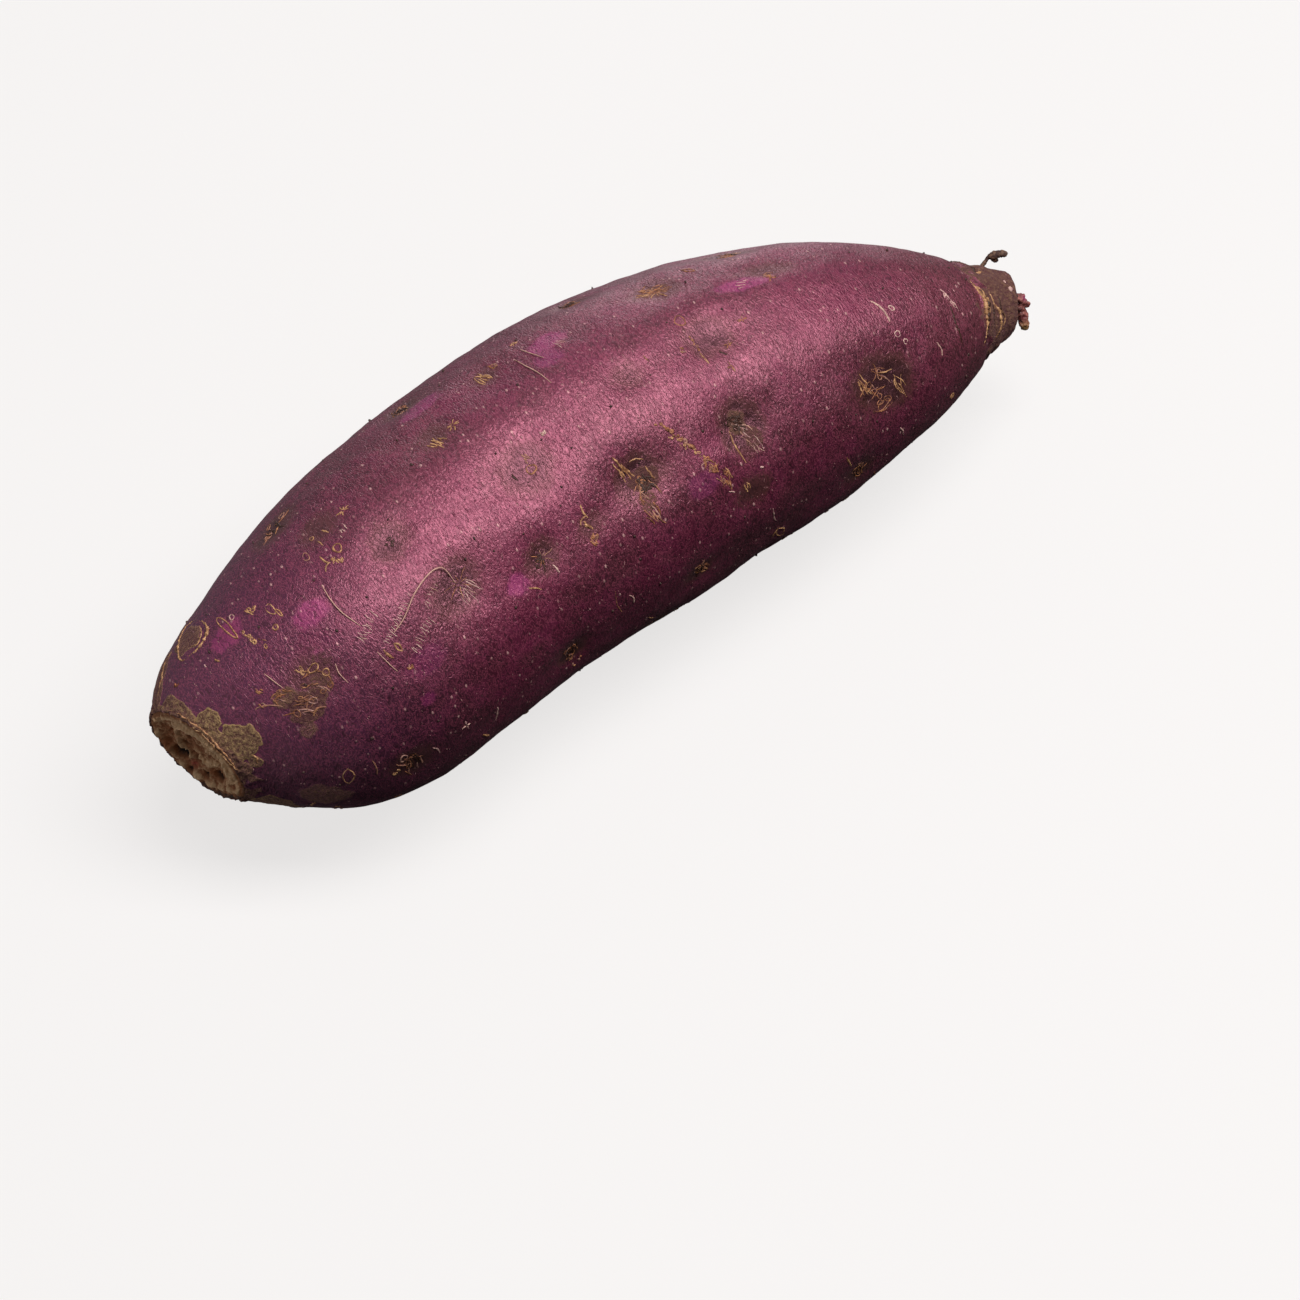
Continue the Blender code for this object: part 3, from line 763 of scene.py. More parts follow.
def through(stations, points_each):
    """Steps from 0 to 1 on a smooth way through the stations, and each column's values there."""
    stations = np.array(stations, float)
    places = np.linspace(0, 1, len(stations))
    t = np.linspace(0, 1, points_each * len(stations))
    return t, [smooth(list(zip(places, column)), t) for column in stations.T]


# %% [markdown]
# ## Cork lines
#
# Where small cracks in the skin have healed, thin cork shows as golden and pale lines. Most run
# around the root, and they come as dashes, pairs, long loops, rings, chains, brushes and nets.
# The ones that the eye finds first are placed one by one. The same kinds are strewn over the rest
# from a fixed seed.

# %% Healed cork: gold, then orange-brown, pale and dark as the tone goes from 0 to 2
GOLD, ORANGE, PALE, DARK = 0.0, 0.5, 1.0, 2.0
line_stuff, tree, shader, place = new_material("healed_cork_line")
tone = add(tree, "ShaderNodeAttribute", {"attribute_name": "tone"}, out="Fac")
fleck = add(tree, "ShaderNodeTexNoise", {}, {"Vector": place, "Scale": PER_MM / 0.7, "Detail": 3})
fleck = add(tree, "ShaderNodeMapRange", {}, {"Value": fleck, "From Min": 0.35, "From Max": 0.65})
gold, orange, pale = (
    add(tree, "ShaderNodeMix", RGBA, {0: fleck, 6: linear(dull), 7: linear(bright)}, out=2)
    for dull, bright in (("#7c4f30", "#d4a272"), ("#582c1a", "#ac6a42"), ("#a9787a", "#dcb8a8")))
colour = gold
# The dark tone is dark cork, and on the tip's seams it is also painted shade in the grooves.
for start, end, over in ((GOLD, ORANGE, orange), (ORANGE, PALE, pale), (PALE, DARK, linear("#3a1a0e"))):
    share = add(tree, "ShaderNodeMapRange", {}, {"Value": tone, "From Min": start, "From Max": end})
    colour = add(tree, "ShaderNodeMix", RGBA, {0: share, 6: colour, 7: over}, out=2)
fill(tree, shader, {"Base Color": colour, "Roughness": 0.6})

# %% Kinds of marks, as lines in mm around their middle
LINE_RADIUS = 0.16  # mm
STEP = 0.33  # mm between the points of a line
SHAKE = 0.10


def stroke(draw, length, bend=0.0):
    """A shaky line of the given length along the first axis, centred, and bent to one side."""
    count = max(4, int(length / STEP) + 2)
    t = np.linspace(-0.5, 0.5, count)
    shaken = np.cumsum([draw.gauss(0, SHAKE) for _ in t]) * STEP * 1.6
    shaken = shaken - np.linspace(shaken[0], shaken[-1], count)
    return np.stack([t * length, bend * length * (0.25 - t * t) * 4 + shaken], -1)


def ringlet(draw, length, width, gap=0.0):
    """A closed or nearly closed loop, a little uneven."""
    count = max(14, int(2.6 * (length + width) / 2 / STEP) + 3)
    t = np.linspace(0, 2 * math.pi * (1 - gap), count) + draw.uniform(0, 6)
    uneven = 1 + 0.16 * np.sin(2 * t + draw.uniform(0, 6)) + 0.08 * np.sin(3 * t + draw.uniform(0, 6))
    return np.stack([length / 2 * np.cos(t) * uneven, width / 2 * np.sin(t) * uneven], -1)


def turned(line, angle, shift=(0, 0)):
    """A line turned by degrees and then moved."""
    a = math.radians(angle)
    matrix = np.array([[math.cos(a), math.sin(a)], [-math.sin(a), math.cos(a)]])
    return line @ matrix + shift


def one_of_many(draw, kind, k, length, width, count):
    """One line of a mark that has many: a link of a chain or net, a hair of a brush, or a ray."""
    if kind == "chain":
        at = (k + 0.5) / count * length - length / 2
        size = draw.uniform(0.6, 1.1) * length / count
        shift = (at, draw.gauss(0, width / 4))
        link = ringlet(draw, size, size * 0.6) if draw.random() < 0.45 else stroke(draw, size)
        return turned(link, draw.gauss(0, 18), shift)
    if kind == "brush":
        shift = (draw.gauss(0, length / 8), ((k + 0.5) / count - 0.5) * width + draw.gauss(0, 0.1))
        hair = stroke(draw, length * draw.uniform(0.35, 1), draw.uniform(-0.1, 0.1))
        return turned(hair, draw.gauss(0, 9), shift)
    if kind == "burst":
        reach = draw.uniform(0.5, 1) * length / 2
        ray = stroke(draw, reach, draw.uniform(-0.1, 0.1)) + (reach * 0.75, 0)
        return turned(ray, 360 * (k + draw.uniform(-0.3, 0.3)) / count) * (1, width / length)
    shift = (draw.uniform(-0.4, 0.4) * length, draw.uniform(-0.4, 0.4) * width)
    size = draw.uniform(0.25, 0.6) * length
    if k % 3 == 0:
        link = ringlet(draw, size * 0.6, size * 0.35)
    else:
        link = stroke(draw, size, draw.uniform(-0.2, 0.2))
    return turned(link, draw.gauss(0, 40), shift)


def mark_lines(draw, kind, length, width, count):
    """The lines of one mark, its length along the first axis."""
    if kind == "dash":
        return [stroke(draw, length, draw.uniform(-0.12, 0.12))]
    if kind == "pair":
        bend = 0.5 * width / length
        return [stroke(draw, length, bend), stroke(draw, length * draw.uniform(0.75, 1), -bend)]
    if kind == "loop":
        return [ringlet(draw, length, width, draw.choice((0, 0, 0.12)))]
    if kind == "hook":
        bar = stroke(draw, length, 0.1)
        return [bar, turned(stroke(draw, width, 0.2), 70, (length / 2, width / 2))]
    return [one_of_many(draw, kind, k, length, width, count) for k in range(count)]


def lay(flat, along, around, angle):
    """Places along and around for flat points in mm. An angle of 0 lies along the root."""
    spot = turned(flat, angle)
    places = along + spot[:, 0] * MM / LENGTH
    return places, around + np.degrees(spot[:, 1] * MM / girth_at(along))


# %% Marks placed one by one
# Kind, along, around, length and width in mm, angle in degrees, count, tone, thickness
MARKS = (
    ("loop", 0.070, -18, 6.4, 0.9, 88, 1, GOLD, 1.0), ("loop", 0.078, -19, 1.1, 0.7, 80, 1, PALE, 0.8),
    ("net", 0.093, -12, 2.6, 1.8, 70, 7, GOLD, 0.8), ("loop", 0.106, -5, 2.8, 0.9, 85, 1, GOLD, 0.8),
    ("pair", 0.110, -1, 2.2, 0.5, 80, 1, GOLD, 0.8), ("loop", 0.100, 3, 0.9, 0.8, 0, 1, GOLD, 0.9),
    ("chain", 0.076, -3, 3.6, 0.8, 84, 5, GOLD, 1.0), ("chain", 0.083, 3, 3.4, 0.7, 75, 4, ORANGE, 0.8),
    ("dash", 0.048, -9, 1.1, 0, 80, 1, GOLD, 1.1), ("dash", 0.040, -14, 0.7, 0, 100, 1, PALE, 1.0),
    ("burst", 0.217, -15, 2.4, 1.8, 0, 7, GOLD, 0.7), ("dash", 0.191, -14, 1.6, 0, 70, 1, GOLD, 1.1),
    ("loop", 0.177, -16, 0.8, 0.7, 0, 1, GOLD, 0.8), ("dash", 0.180, -11, 1.6, 0, 84, 1, GOLD, 0.8),
    ("hook", 0.173, -4, 2.6, 1.6, 75, 1, GOLD, 0.9), ("loop", 0.189, -4, 2.0, 1.2, 70, 1, GOLD, 0.9),
    ("net", 0.182, 0, 2.6, 1.7, 75, 6, GOLD, 0.9), ("loop", 0.161, -11, 1.8, 1.0, 80, 1, ORANGE, 0.7),
    ("brush", 0.203, -8, 1.8, 2.2, 80, 4, PALE, 0.6), ("dash", 0.176, 38, 2.3, 0, 68, 1, GOLD, 1.5),
    ("pair", 0.187, 38, 2.0, 0.6, 70, 1, GOLD, 1.2), ("net", 0.189, 47, 1.4, 1.0, 80, 5, ORANGE, 0.9),
    ("brush", 0.057, 22, 1.6, 0.7, 60, 3, ORANGE, 1.0),
    ("brush", 0.052, 28, 1.6, 0.7, 66, 3, ORANGE, 0.9), ("dash", 0.055, 31, 4.6, 0, 30, 1, ORANGE, 0.8),
    ("dash", 0.068, 39, 2.0, 0, 14, 1, ORANGE, 0.7), ("net", 0.089, 40, 4.6, 3.4, 30, 15, ORANGE, 0.8),
    ("net", 0.106, 33, 5.0, 3.4, 50, 9, ORANGE, 0.6), ("loop", 0.109, 27, 1.6, 1.3, 0, 1, GOLD, 0.8),
    ("loop", 0.117, 31, 1.2, 1.0, 0, 1, GOLD, 0.7), ("net", 0.072, 30, 3.4, 2.4, 20, 9, ORANGE, 0.7),
    ("net", 0.098, 26, 2.4, 1.6, 60, 7, GOLD, 0.7), ("brush", 0.334, -11, 3.2, 2.4, 70, 8, GOLD, 0.8),
    ("burst", 0.358, -13, 3.0, 2.4, 0, 8, GOLD, 0.7), ("brush", 0.419, -24, 3.4, 2.0, 70, 8, GOLD, 0.8),
    ("net", 0.432, -27, 2.4, 1.8, 60, 6, ORANGE, 0.8), ("burst", 0.468, -31, 1.8, 1.6, 0, 6, GOLD, 0.7),
    ("dash", 0.377, 17, 1.5, 0, 80, 1, DARK, 1.4), ("loop", 0.396, 18, 1.8, 1.5, 80, 1, ORANGE, 0.8),
    ("brush", 0.398, 14, 1.6, 1.4, 60, 4, GOLD, 0.7),
    ("net", 0.625, -23, 5.4, 4.4, 20, 14, ORANGE, 0.6),
    ("burst", 0.625, -22, 6.0, 4.8, 0, 10, GOLD, 0.5), ("hook", 0.421, 40, 2.6, 1.8, 85, 1, GOLD, 1.1),
    ("chain", 0.418, 45, 2.4, 0.8, 70, 4, GOLD, 1.0), ("net", 0.419, 51, 2.6, 1.8, 80, 9, ORANGE, 1.0),
    ("chain", 0.539, 32, 5.8, 1.0, 60, 8, ORANGE, 1.3),
    ("chain", 0.552, 39, 3.8, 0.9, 62, 5, ORANGE, 1.2),
    ("net", 0.564, 49, 3.2, 1.6, 60, 9, ORANGE, 1.0), ("dash", 0.579, 55, 2.4, 0, 75, 1, GOLD, 0.9),
    ("dash", 0.575, 59, 2.0, 0, 84, 1, GOLD, 0.9), ("brush", 0.594, 64, 1.8, 1.2, 75, 4, GOLD, 0.8),
    ("dash", 0.601, 49, 6.4, 0, 86, 1, GOLD, 1.0), ("net", 0.611, 42, 3.0, 2.2, 74, 7, PALE, 0.4),
    ("net", 0.611, 41, 4.2, 3.4, 60, 16, DARK, 0.9), ("dash", 0.617, 60, 0.7, 0, 20, 1, PALE, 1.3),
    ("net", 0.780, 56, 7.5, 6.5, 60, 17, ORANGE, 0.6),
    ("brush", 0.760, 51, 4.6, 1.8, 76, 6, GOLD, 0.65), ("brush", 0.804, 60, 4.8, 1.6, 80, 6, GOLD, 0.6),
    ("dash", 0.792, 50, 3.4, 0, 12, 1, GOLD, 0.8), ("burst", 0.272, 34, 5.2, 4.6, 0, 8, ORANGE, 0.4),
    ("brush", 0.276, 38, 4.5, 3.6, 70, 8, PALE, 0.45), ("net", 0.356, 47, 3.0, 2.2, 80, 8, DARK, 0.9),
    ("burst", 0.361, 45, 4.0, 3.4, 0, 8, ORANGE, 0.6), ("dash", 0.476, 33, 3.4, 0, 72, 1, GOLD, 1.0),
    ("brush", 0.478, 36, 3.6, 1.8, 78, 6, GOLD, 0.8),
    ("brush", 0.486, 54, 3.2, 2.2, 76, 7, ORANGE, 0.9), ("dash", 0.495, 35, 2.6, 0, 20, 1, GOLD, 1.0),
    ("dash", 0.503, 41, 2.8, 0, 80, 1, GOLD, 1.1), ("dash", 0.500, 46, 3.4, 0, 70, 1, ORANGE, 1.0),
    ("net", 0.493, 43, 3.6, 3.2, 76, 20, DARK, 1.1), ("net", 0.487, 45, 4.2, 3.6, 80, 14, ORANGE, 0.7),
    ("loop", 0.617, -2, 2.2, 1.6, 60, 1, ORANGE, 0.8),
    ("chain", 0.616, 8, 3.4, 0.6, 84, 5, ORANGE, 0.8), ("dash", 0.615, 15, 2.6, 0, 88, 1, GOLD, 0.8),
    ("burst", 0.675, 7, 1.8, 1.4, 0, 5, ORANGE, 0.8), ("burst", 0.646, 14, 1.8, 1.4, 0, 5, ORANGE, 0.8),
    ("dash", 0.636, 16, 1.6, 0, 60, 1, DARK, 1.2), ("net", 0.634, 22, 1.8, 1.2, 60, 5, ORANGE, 0.8),
    ("net", 0.601, 9, 1.4, 1.0, 30, 5, ORANGE, 1.0), ("dash", 0.561, 6, 1.4, 0, 84, 1, GOLD, 0.9),
    ("pair", 0.673, -28, 3.0, 0.9, 60, 1, ORANGE, 1.0),
    ("pair", 0.724, -34, 3.4, 0.8, 50, 1, ORANGE, 0.9), ("dash", 0.819, 23, 4.8, 0, 76, 1, PALE, 1.1),
    ("loop", 0.833, 23, 1.0, 0.9, 0, 1, PALE, 0.8), ("loop", 0.824, 36, 1.3, 1.0, 0, 1, PALE, 0.7),
    ("loop", 0.830, 41, 1.0, 0.8, 0, 1, PALE, 0.7), ("dash", 0.868, 53, 2.8, 0, 86, 1, PALE, 0.9),
    ("dash", 0.369, 51, 1.8, 0, 74, 1, PALE, 1.0), ("net", 0.425, 10, 1.2, 0.9, 0, 5, PALE, 1.1),
    ("dash", 0.421, 76, 5.5, 0, 84, 1, ORANGE, 0.6), ("net", 0.733, -9, 3.6, 1.8, 80, 9, ORANGE, 0.8),
    ("brush", 0.701, -8, 2.6, 3.0, 20, 4, PALE, 0.4), ("net", 0.234, 7, 2.0, 1.6, 30, 7, DARK, 0.8),
    ("chain", 0.909, 27, 3.4, 0.7, 64, 4, PALE, 0.8), ("dash", 0.340, 52, 2.6, 0, 40, 1, GOLD, 0.9),
    ("dash", 0.966, -27, 1.5, 0, 90, 1, DARK, 3.0), ("brush", 0.196, 31, 2.0, 7.0, 58, 15, PALE, 0.42),
    ("brush", 0.214, 40, 2.0, 6.0, 62, 12, PALE, 0.42),
    ("brush", 0.170, 26, 2.0, 5.0, 60, 9, PALE, 0.42), ("brush", 0.240, 31, 1.8, 4.0, 64, 7, PALE, 0.4),
    ("net", 0.968, -22, 1.5, 1.1, 80, 6, GOLD, 1.1), ("dash", 0.989, 0, 0.6, 0, 70, 1, PALE, 2.0),
    ("dash", 0.993, 14, 0.9, 0, 70, 1, PALE, 2.2), ("brush", 0.500, -17, 3.0, 1.4, 64, 4, PALE, 0.4),
    ("net", 0.573, 57, 3.4, 2.6, 76, 13, ORANGE, 0.75), ("dash", 0.575, 62, 1.4, 0, 40, 1, PALE, 0.8),
    ("net", 0.564, 51, 2.6, 1.2, 70, 7, ORANGE, 0.6), ("chain", 0.544, 37, 4.6, 1.6, 64, 9, GOLD, 0.7),
    ("chain", 0.557, 43, 4.4, 0.8, 62, 8, GOLD, 0.8), ("brush", 0.617, 46, 2.6, 2.4, 60, 7, 0.8, 0.5),
    ("brush", 0.621, 53, 3.2, 1.6, 80, 5, 0.8, 0.45),
)
# Seams: places along and around that a line runs through, its tone and thickness
SEAMS = (
    (((0.950, 2), (0.952, 13), (0.957, 28), (0.953, 44), (0.948, 60), (0.934, 74)), GOLD, 2.6),
    (((0.954, 8), (0.958, 20), (0.960, 36), (0.956, 50)), GOLD, 1.5),
    (((0.968, 12), (0.967, 30), (0.972, 50), (0.971, 68), (0.962, 84)), GOLD, 1.7),
    (((0.974, 40), (0.979, 55), (0.976, 72)), GOLD, 1.2),
    # The dark seams lie in the tip's creases beside the gold and pale ones: painted shade in those
    # grooves.
    (((0.954, 12), (0.960, 28), (0.957, 44), (0.952, 60), (0.938, 75)), DARK, 2.2),
    (((0.963, 30), (0.965, 44), (0.961, 62)), DARK, 1.9),
    (((0.977, 20), (0.975, 38), (0.980, 60)), DARK, 1.5),
    (((0.906, 28), (0.903, 46), (0.901, 60)), DARK, 1.6),
    (((0.905, 16), (0.909, 24), (0.912, 36)), PALE, 0.9),
    (((0.962, -38), (0.959, -60), (0.955, -85)), DARK, 1.4),
    (((0.951, 110), (0.957, 150), (0.953, 190)), GOLD, 1.8),
    (((0.966, 200), (0.961, 240), (0.965, 275)), GOLD, 1.6),
    (((0.972, 120), (0.968, 160), (0.973, 205)), PALE, 1.3),
    (((0.062, -40), (0.061, -31), (0.056, -27), (0.046, -26), (0.038, -30)), GOLD, 2.2),
    (((0.038, -30), (0.036, -37), (0.040, -45), (0.047, -52), (0.056, -54), (0.062, -46)), GOLD, 1.7),
    (((0.059, -38), (0.055, -31), (0.047, -29), (0.041, -34)), GOLD, 1.1),
    (((0.040, -52), (0.030, -56), (0.020, -52), (0.008, -52)), GOLD, 1.5),
    (((0.003, -30), (0.002, -8), (0.003, 12), (0.003, 34), (0.004, 52), (0.006, 66)), 0.2, 1.2),
    (((0.001, -2), (0.001, 22), (0.001, 44), (0.002, 66)), GOLD, 1.0),
    (((0.017, 51), (0.019, 56), (0.015, 62)), GOLD, 1.3),
    (((0.021, -33), (0.018, -30), (0.022, -27)), ORANGE, 1.5),
)
print(len(MARKS), "marks placed, and", len(SEAMS), "seams")

# %% Build the cork lines: the placed marks, then the strewn ones
STREWN = 150
STREWN_ALONG, STREWN_AROUND = (0.04, 0.93), (78, 282)  # mostly where the placed ones aren't
KINDS = ("dash", "dash", "dash", "dash", "pair", "loop", "chain", "brush", "burst", "net")
TONES = (GOLD, GOLD, ORANGE, ORANGE, PALE)
WANDER = 0.00025  # of a seam, as a share of the length at each point
MARK_SUNK, SEAM_SUNK = 0.25, 0.35  # of a line's radius
draw = random.Random(41)
todo = list(MARKS)
for _ in range(STREWN):
    along, around = draw.uniform(*STREWN_ALONG), draw.uniform(*STREWN_AROUND)
    kind = draw.choice(KINDS)
    length = draw.uniform(1.2, 4.5)
    todo.append((kind, along, around, length, length * draw.uniform(0.3, 0.8), draw.gauss(80, 16),
                 draw.randint(4, 8), draw.choice(TONES), draw.uniform(0.7, 1.1)))
for at, degrees, half_length, half_width, depth in HIDDEN:
    todo.append(("net", at, degrees, half_length, half_width, draw.gauss(75, 20), 10, ORANGE, 0.8))
    todo.append(("brush", at, degrees, 0.8 * half_length, 0.6 * half_width, 80, 5, DARK, 1.1))
lines = []
for kind, along, around, length, width, angle, count, tone, thickness in todo:
    for flat in mark_lines(draw, kind, length, width, count):
        at, degrees = lay(flat, along, around, angle)
        size = LINE_RADIUS * thickness * draw.uniform(0.75, 1.15)
        t = np.linspace(0, 1, len(at))
        swell = 0.45 + 0.75 * np.sin(math.pi * np.clip(t, 0.02, 0.98))**0.5
        swell = swell * np.array([draw.uniform(0.8, 1.2) for _ in t])
        shade = tone if tone == DARK else min(1, max(0, tone + draw.gauss(0, 0.12)))
        places = np.stack([at, degrees, np.full_like(at, -MARK_SUNK * size)])
        lines.append([places, size * swell, shade])
for stations, tone, thickness in SEAMS:
    t, (at, degrees) = through(stations, 12)
    at = at + np.cumsum([draw.gauss(0, WANDER) for _ in t])
    size = LINE_RADIUS * thickness
    swell = np.array([draw.uniform(0.55, 1.25) for _ in t]) * (0.35 + 0.8 * np.sin(math.pi * t))
    lines.append([np.stack([at, degrees, np.full_like(at, -SEAM_SUNK * size)]), size * swell, tone])
at, degrees, lift = np.concatenate([line[0] for line in lines], axis=1)
laid, _ = skin_points(at, degrees, lift=lift)
for line, points in zip(lines, np.split(laid, np.cumsum([len(line[1]) for line in lines])[:-1])):
    line[0] = points
cork_lines = grow("cork_lines", lines, line_stuff, 5)
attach(cork_lines, "root")

# %% [markdown]
# ## Dried root hairs
#
# A few thin pale hairs still cling to the skin. They are fine strands that arch a little off it
# between their ends.

# %% Build the hairs
hair_stuff, tree, shader, place = new_material("dried_root_hair")
shade = add(tree, "ShaderNodeTexNoise", {}, {"Vector": place, "Scale": PER_MM / 2, "Detail": 2})
colour = add(tree, "ShaderNodeMix", RGBA, {0: shade, 6: linear("#a8736a"), 7: linear("#dcb09c")}, out=2)
fill(tree, shader, {"Base Color": colour, "Roughness": 0.5})
# Points along and around, the most that the hair stands off in mm, radius in mm
HAIRS = (
    (((0.190, 33), (0.205, 31), (0.224, 27), (0.243, 25), (0.257, 25), (0.265, 27), (0.269, 33)),
     0.7, 0.13),
    (((0.156, 3), (0.155, 9), (0.157, 16), (0.165, 24)), 0.15, 0.11),
    (((0.454, -22), (0.456, -16), (0.460, -9), (0.463, -3)), 0.1, 0.09),
    (((0.467, -25), (0.470, -20), (0.476, -14)), 0.1, 0.09),
    (((0.167, 35), (0.172, 41), (0.176, 45)), 0.1, 0.09),
    (((0.128, 30), (0.127, 34), (0.130, 39)), 0.1, 0.09),
    (((0.069, 16), (0.072, 21), (0.076, 27)), 0.1, 0.09),
    (((0.585, 130), (0.600, 137), (0.612, 149), (0.607, 160)), 0.5, 0.11),
    (((0.330, 255), (0.345, 262), (0.352, 274)), 0.4, 0.10),
)
lines = []
for stations, arch, radius in HAIRS:
    t, (at, degrees) = through(stations, 8)
    points, off = skin_points(at, degrees)
    points = points + off * ((arch * np.sin(math.pi * t) + 0.5 * radius) * MM)[:, None]
    lines.append((points, radius * (0.6 + 0.5 * np.sin(math.pi * t)), 1.0))
hairs = grow("root_hairs", lines, hair_stuff)
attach(hairs, "root")

# %% [markdown]
# ## The tip: rootlet and torn nub
#
# A short dried rootlet still stands on the tip, with a lumpy forked head, and a nub of torn flesh
# dries where the root broke off. The rootlet is two strands with lumps pressed into them. The nub
# could be sculpted. Here overlapping balls are remeshed into one body and roughened.

# %% Dried rootlet
rootlet_stuff, tree, shader, place = new_material("dried_rootlet_bark")
bark = add(tree, "ShaderNodeTexNoise", {}, {"Vector": place, "Scale": PER_MM / 0.6, "Detail": 4})
bark = add(tree, "ShaderNodeMapRange", SMOOTH, {"Value": bark, "From Min": 0.35, "From Max": 0.68})
colour = add(tree, "ShaderNodeMix", RGBA, {0: bark, 6: linear("#3c211c"), 7: linear("#80604a")}, out=2)
fill(tree, shader, {"Base Color": colour, "Roughness": 0.75})
ROOTLET_AT = (0.980, -58)
# Points in mm from where it leaves the skin, each with the radius there
STALK = ((-1.2, -1.2, -1.0, 0.45), (0, 0, 0, 0.42), (0.9, 0.2, 0.6, 0.38), (1.7, 0.4, 1.0, 0.42),
         (2.4, 0.2, 1.4, 0.72), (3.2, -0.2, 1.7, 0.78), (4.1, -0.7, 1.9, 0.66), (4.7, -1.2, 1.5, 0.52))
FORK = ((2.2, 0.3, 1.3, 0.45), (2.8, -0.2, 0.8, 0.66), (3.0, -0.6, 0.2, 0.52))
BARK_SIZE, BARK_LUMPS = 0.8, 0.22  # mm across, and a share of the radius
SLIM = 0.92  # the radius before the lumps are added, as a share
ROUND_FROM, ROUND_OVER = 0.93, 0.07  # the end of a strand is rounded here, as shares of its length
rooted = root_points(*ROOTLET_AT)
lines = []
for route in (STALK, FORK):
    t, (x, y, z, radius) = through(route, 12)
    points = rooted + np.stack([x, y, z], -1) * MM
    end = np.sqrt(np.clip(1 - ((t - ROUND_FROM) / ROUND_OVER).clip(0, 1)**2, 0.04, 1))
    lumps = 1 + BARK_LUMPS * random_relief(points, BARK_SIZE)
    lines.append((points, SLIM * radius * lumps * end, 0.0))
rootlet = grow("rootlet", lines, rootlet_stuff, 24)


def roughen(piece, size, depth):
    """Moves a piece's points along their normals by random relief of a size and depth in mm."""
    mesh = piece.data
    points = np.empty(len(mesh.vertices) * 3)
    mesh.vertices.foreach_get("co", points)
    points = points.reshape(-1, 3)
    normals = np.array([tuple(vertex.normal) for vertex in mesh.vertices])
    points = points + normals * (depth * MM * random_relief(points, size, 4))[:, None]
    mesh.vertices.foreach_set("co", points.ravel())
    mesh.update()


roughen(rootlet, 0.5, 0.16)
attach(rootlet, "root")

# %% Dried torn flesh
# Balls on the tip's face: mm outward, toward the near side and up, and radius
NUB = ((0.9, 0.3, 1.0, 1.15), (1.5, 0.8, 0.3, 1.05), (2.3, 1.4, 0.4, 0.60), (1.0, 1.5, -0.6, 1.0),
       (1.2, 1.9, -1.2, 1.20), (1.7, 2.4, -1.9, 1.30), (1.8, 2.9, -2.7, 1.15), (2.1, 3.3, -3.3, 0.85))
NUB_VOXEL = 0.13 * MM
# Stains: name, colour, and their spots, given like the balls
STAINS = (("magenta", "#9c3a66", ((1.8, 2.3, -1.9, 0.7), (1.6, 0.7, 1.4, 0.5))),
          ("tan", "#a8814f", ((2.0, 3.9, -3.2, 1.1), (2.2, 3.0, 0.2, 0.4))),
          ("brown", "#3a1a18", ((0.5, 2.0, -0.3, 0.8), (0.2, 3.0, -3.6, 0.9), (0.1, 0.4, -1.6, 1.0))))
nub_stuff, tree, shader, place = new_material("dried_torn_flesh")
flesh = add(tree, "ShaderNodeTexNoise", {},
            {"Vector": place, "Scale": PER_MM / 0.9, "Detail": 4, "Roughness": 0.6})
flesh = add(tree, "ShaderNodeMapRange", SMOOTH, {"Value": flesh, "From Min": 0.36, "From Max": 0.66})
colour = add(tree, "ShaderNodeMix", RGBA, {0: flesh, 6: linear("#5b2426"), 7: linear("#a8665c")}, out=2)
for title, stain, _ in STAINS:
    mask = add(tree, "ShaderNodeAttribute", {"attribute_name": title}, out="Fac")
    colour = add(tree, "ShaderNodeMix", RGBA, {0: mask, 6: colour, 7: linear(stain)}, out=2)
fine_bump = add(tree, "ShaderNodeBump", {},
                {"Strength": 0.7, "Distance": 0.15 * MM, "Height": flesh}, out="Normal")
fill(tree, shader, {"Base Color": colour, "Normal": fine_bump, "Roughness": 0.5})

# %% Build the torn nub
tip_out = Vector((1, -TIP_LEAN[0], -TIP_LEAN[1])).normalized()
tip_near = tip_out.cross(Vector((0, 0, 1))).normalized()
tip_up = tip_near.cross(tip_out)


def on_tip(out, toward, up):
    """A place on the tip's face from mm outward, toward the near side and up."""
    return Vector(outer) + (tip_out * out + tip_near * toward + tip_up * up) * MM


balls = []
for out, toward, up, radius in NUB:
    bpy.ops.mesh.primitive_ico_sphere_add(subdivisions=3, radius=SLIM * radius * MM,
                                          location=on_tip(out, toward, up))
    balls.append(bpy.context.object)
with bpy.context.temp_override(active_object=balls[0], selected_editable_objects=balls):
    bpy.ops.object.join()
nub = balls[0]
nub.name = nub.data.name = "torn_nub"
nub.data.transform(nub.matrix_world)
nub.matrix_world.identity()
remesh = nub.modifiers.new("one body", "REMESH")
remesh.mode = "VOXEL"
remesh.voxel_size = NUB_VOXEL
relax = nub.modifiers.new("relax", "SMOOTH")
relax.iterations = 9
keep_made(nub)
roughen(nub, 1.5, 0.42)
roughen(nub, 0.5, 0.12)
nub.data.materials.clear()
nub.data.materials.append(nub_stuff)
nub.data.shade_smooth()
places = np.array([tuple(vertex.co) for vertex in nub.data.vertices])
for title, _, spots in STAINS:
    mask = np.zeros(len(places))
    for out, toward, up, radius in spots:
        away = np.linalg.norm(places - np.array(on_tip(out, toward, up)), axis=1)
        mask = np.maximum(mask, np.exp(-(away / (radius * MM))**2))
    give(nub.data, title, mask)
say_size(nub)
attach(nub, "root")

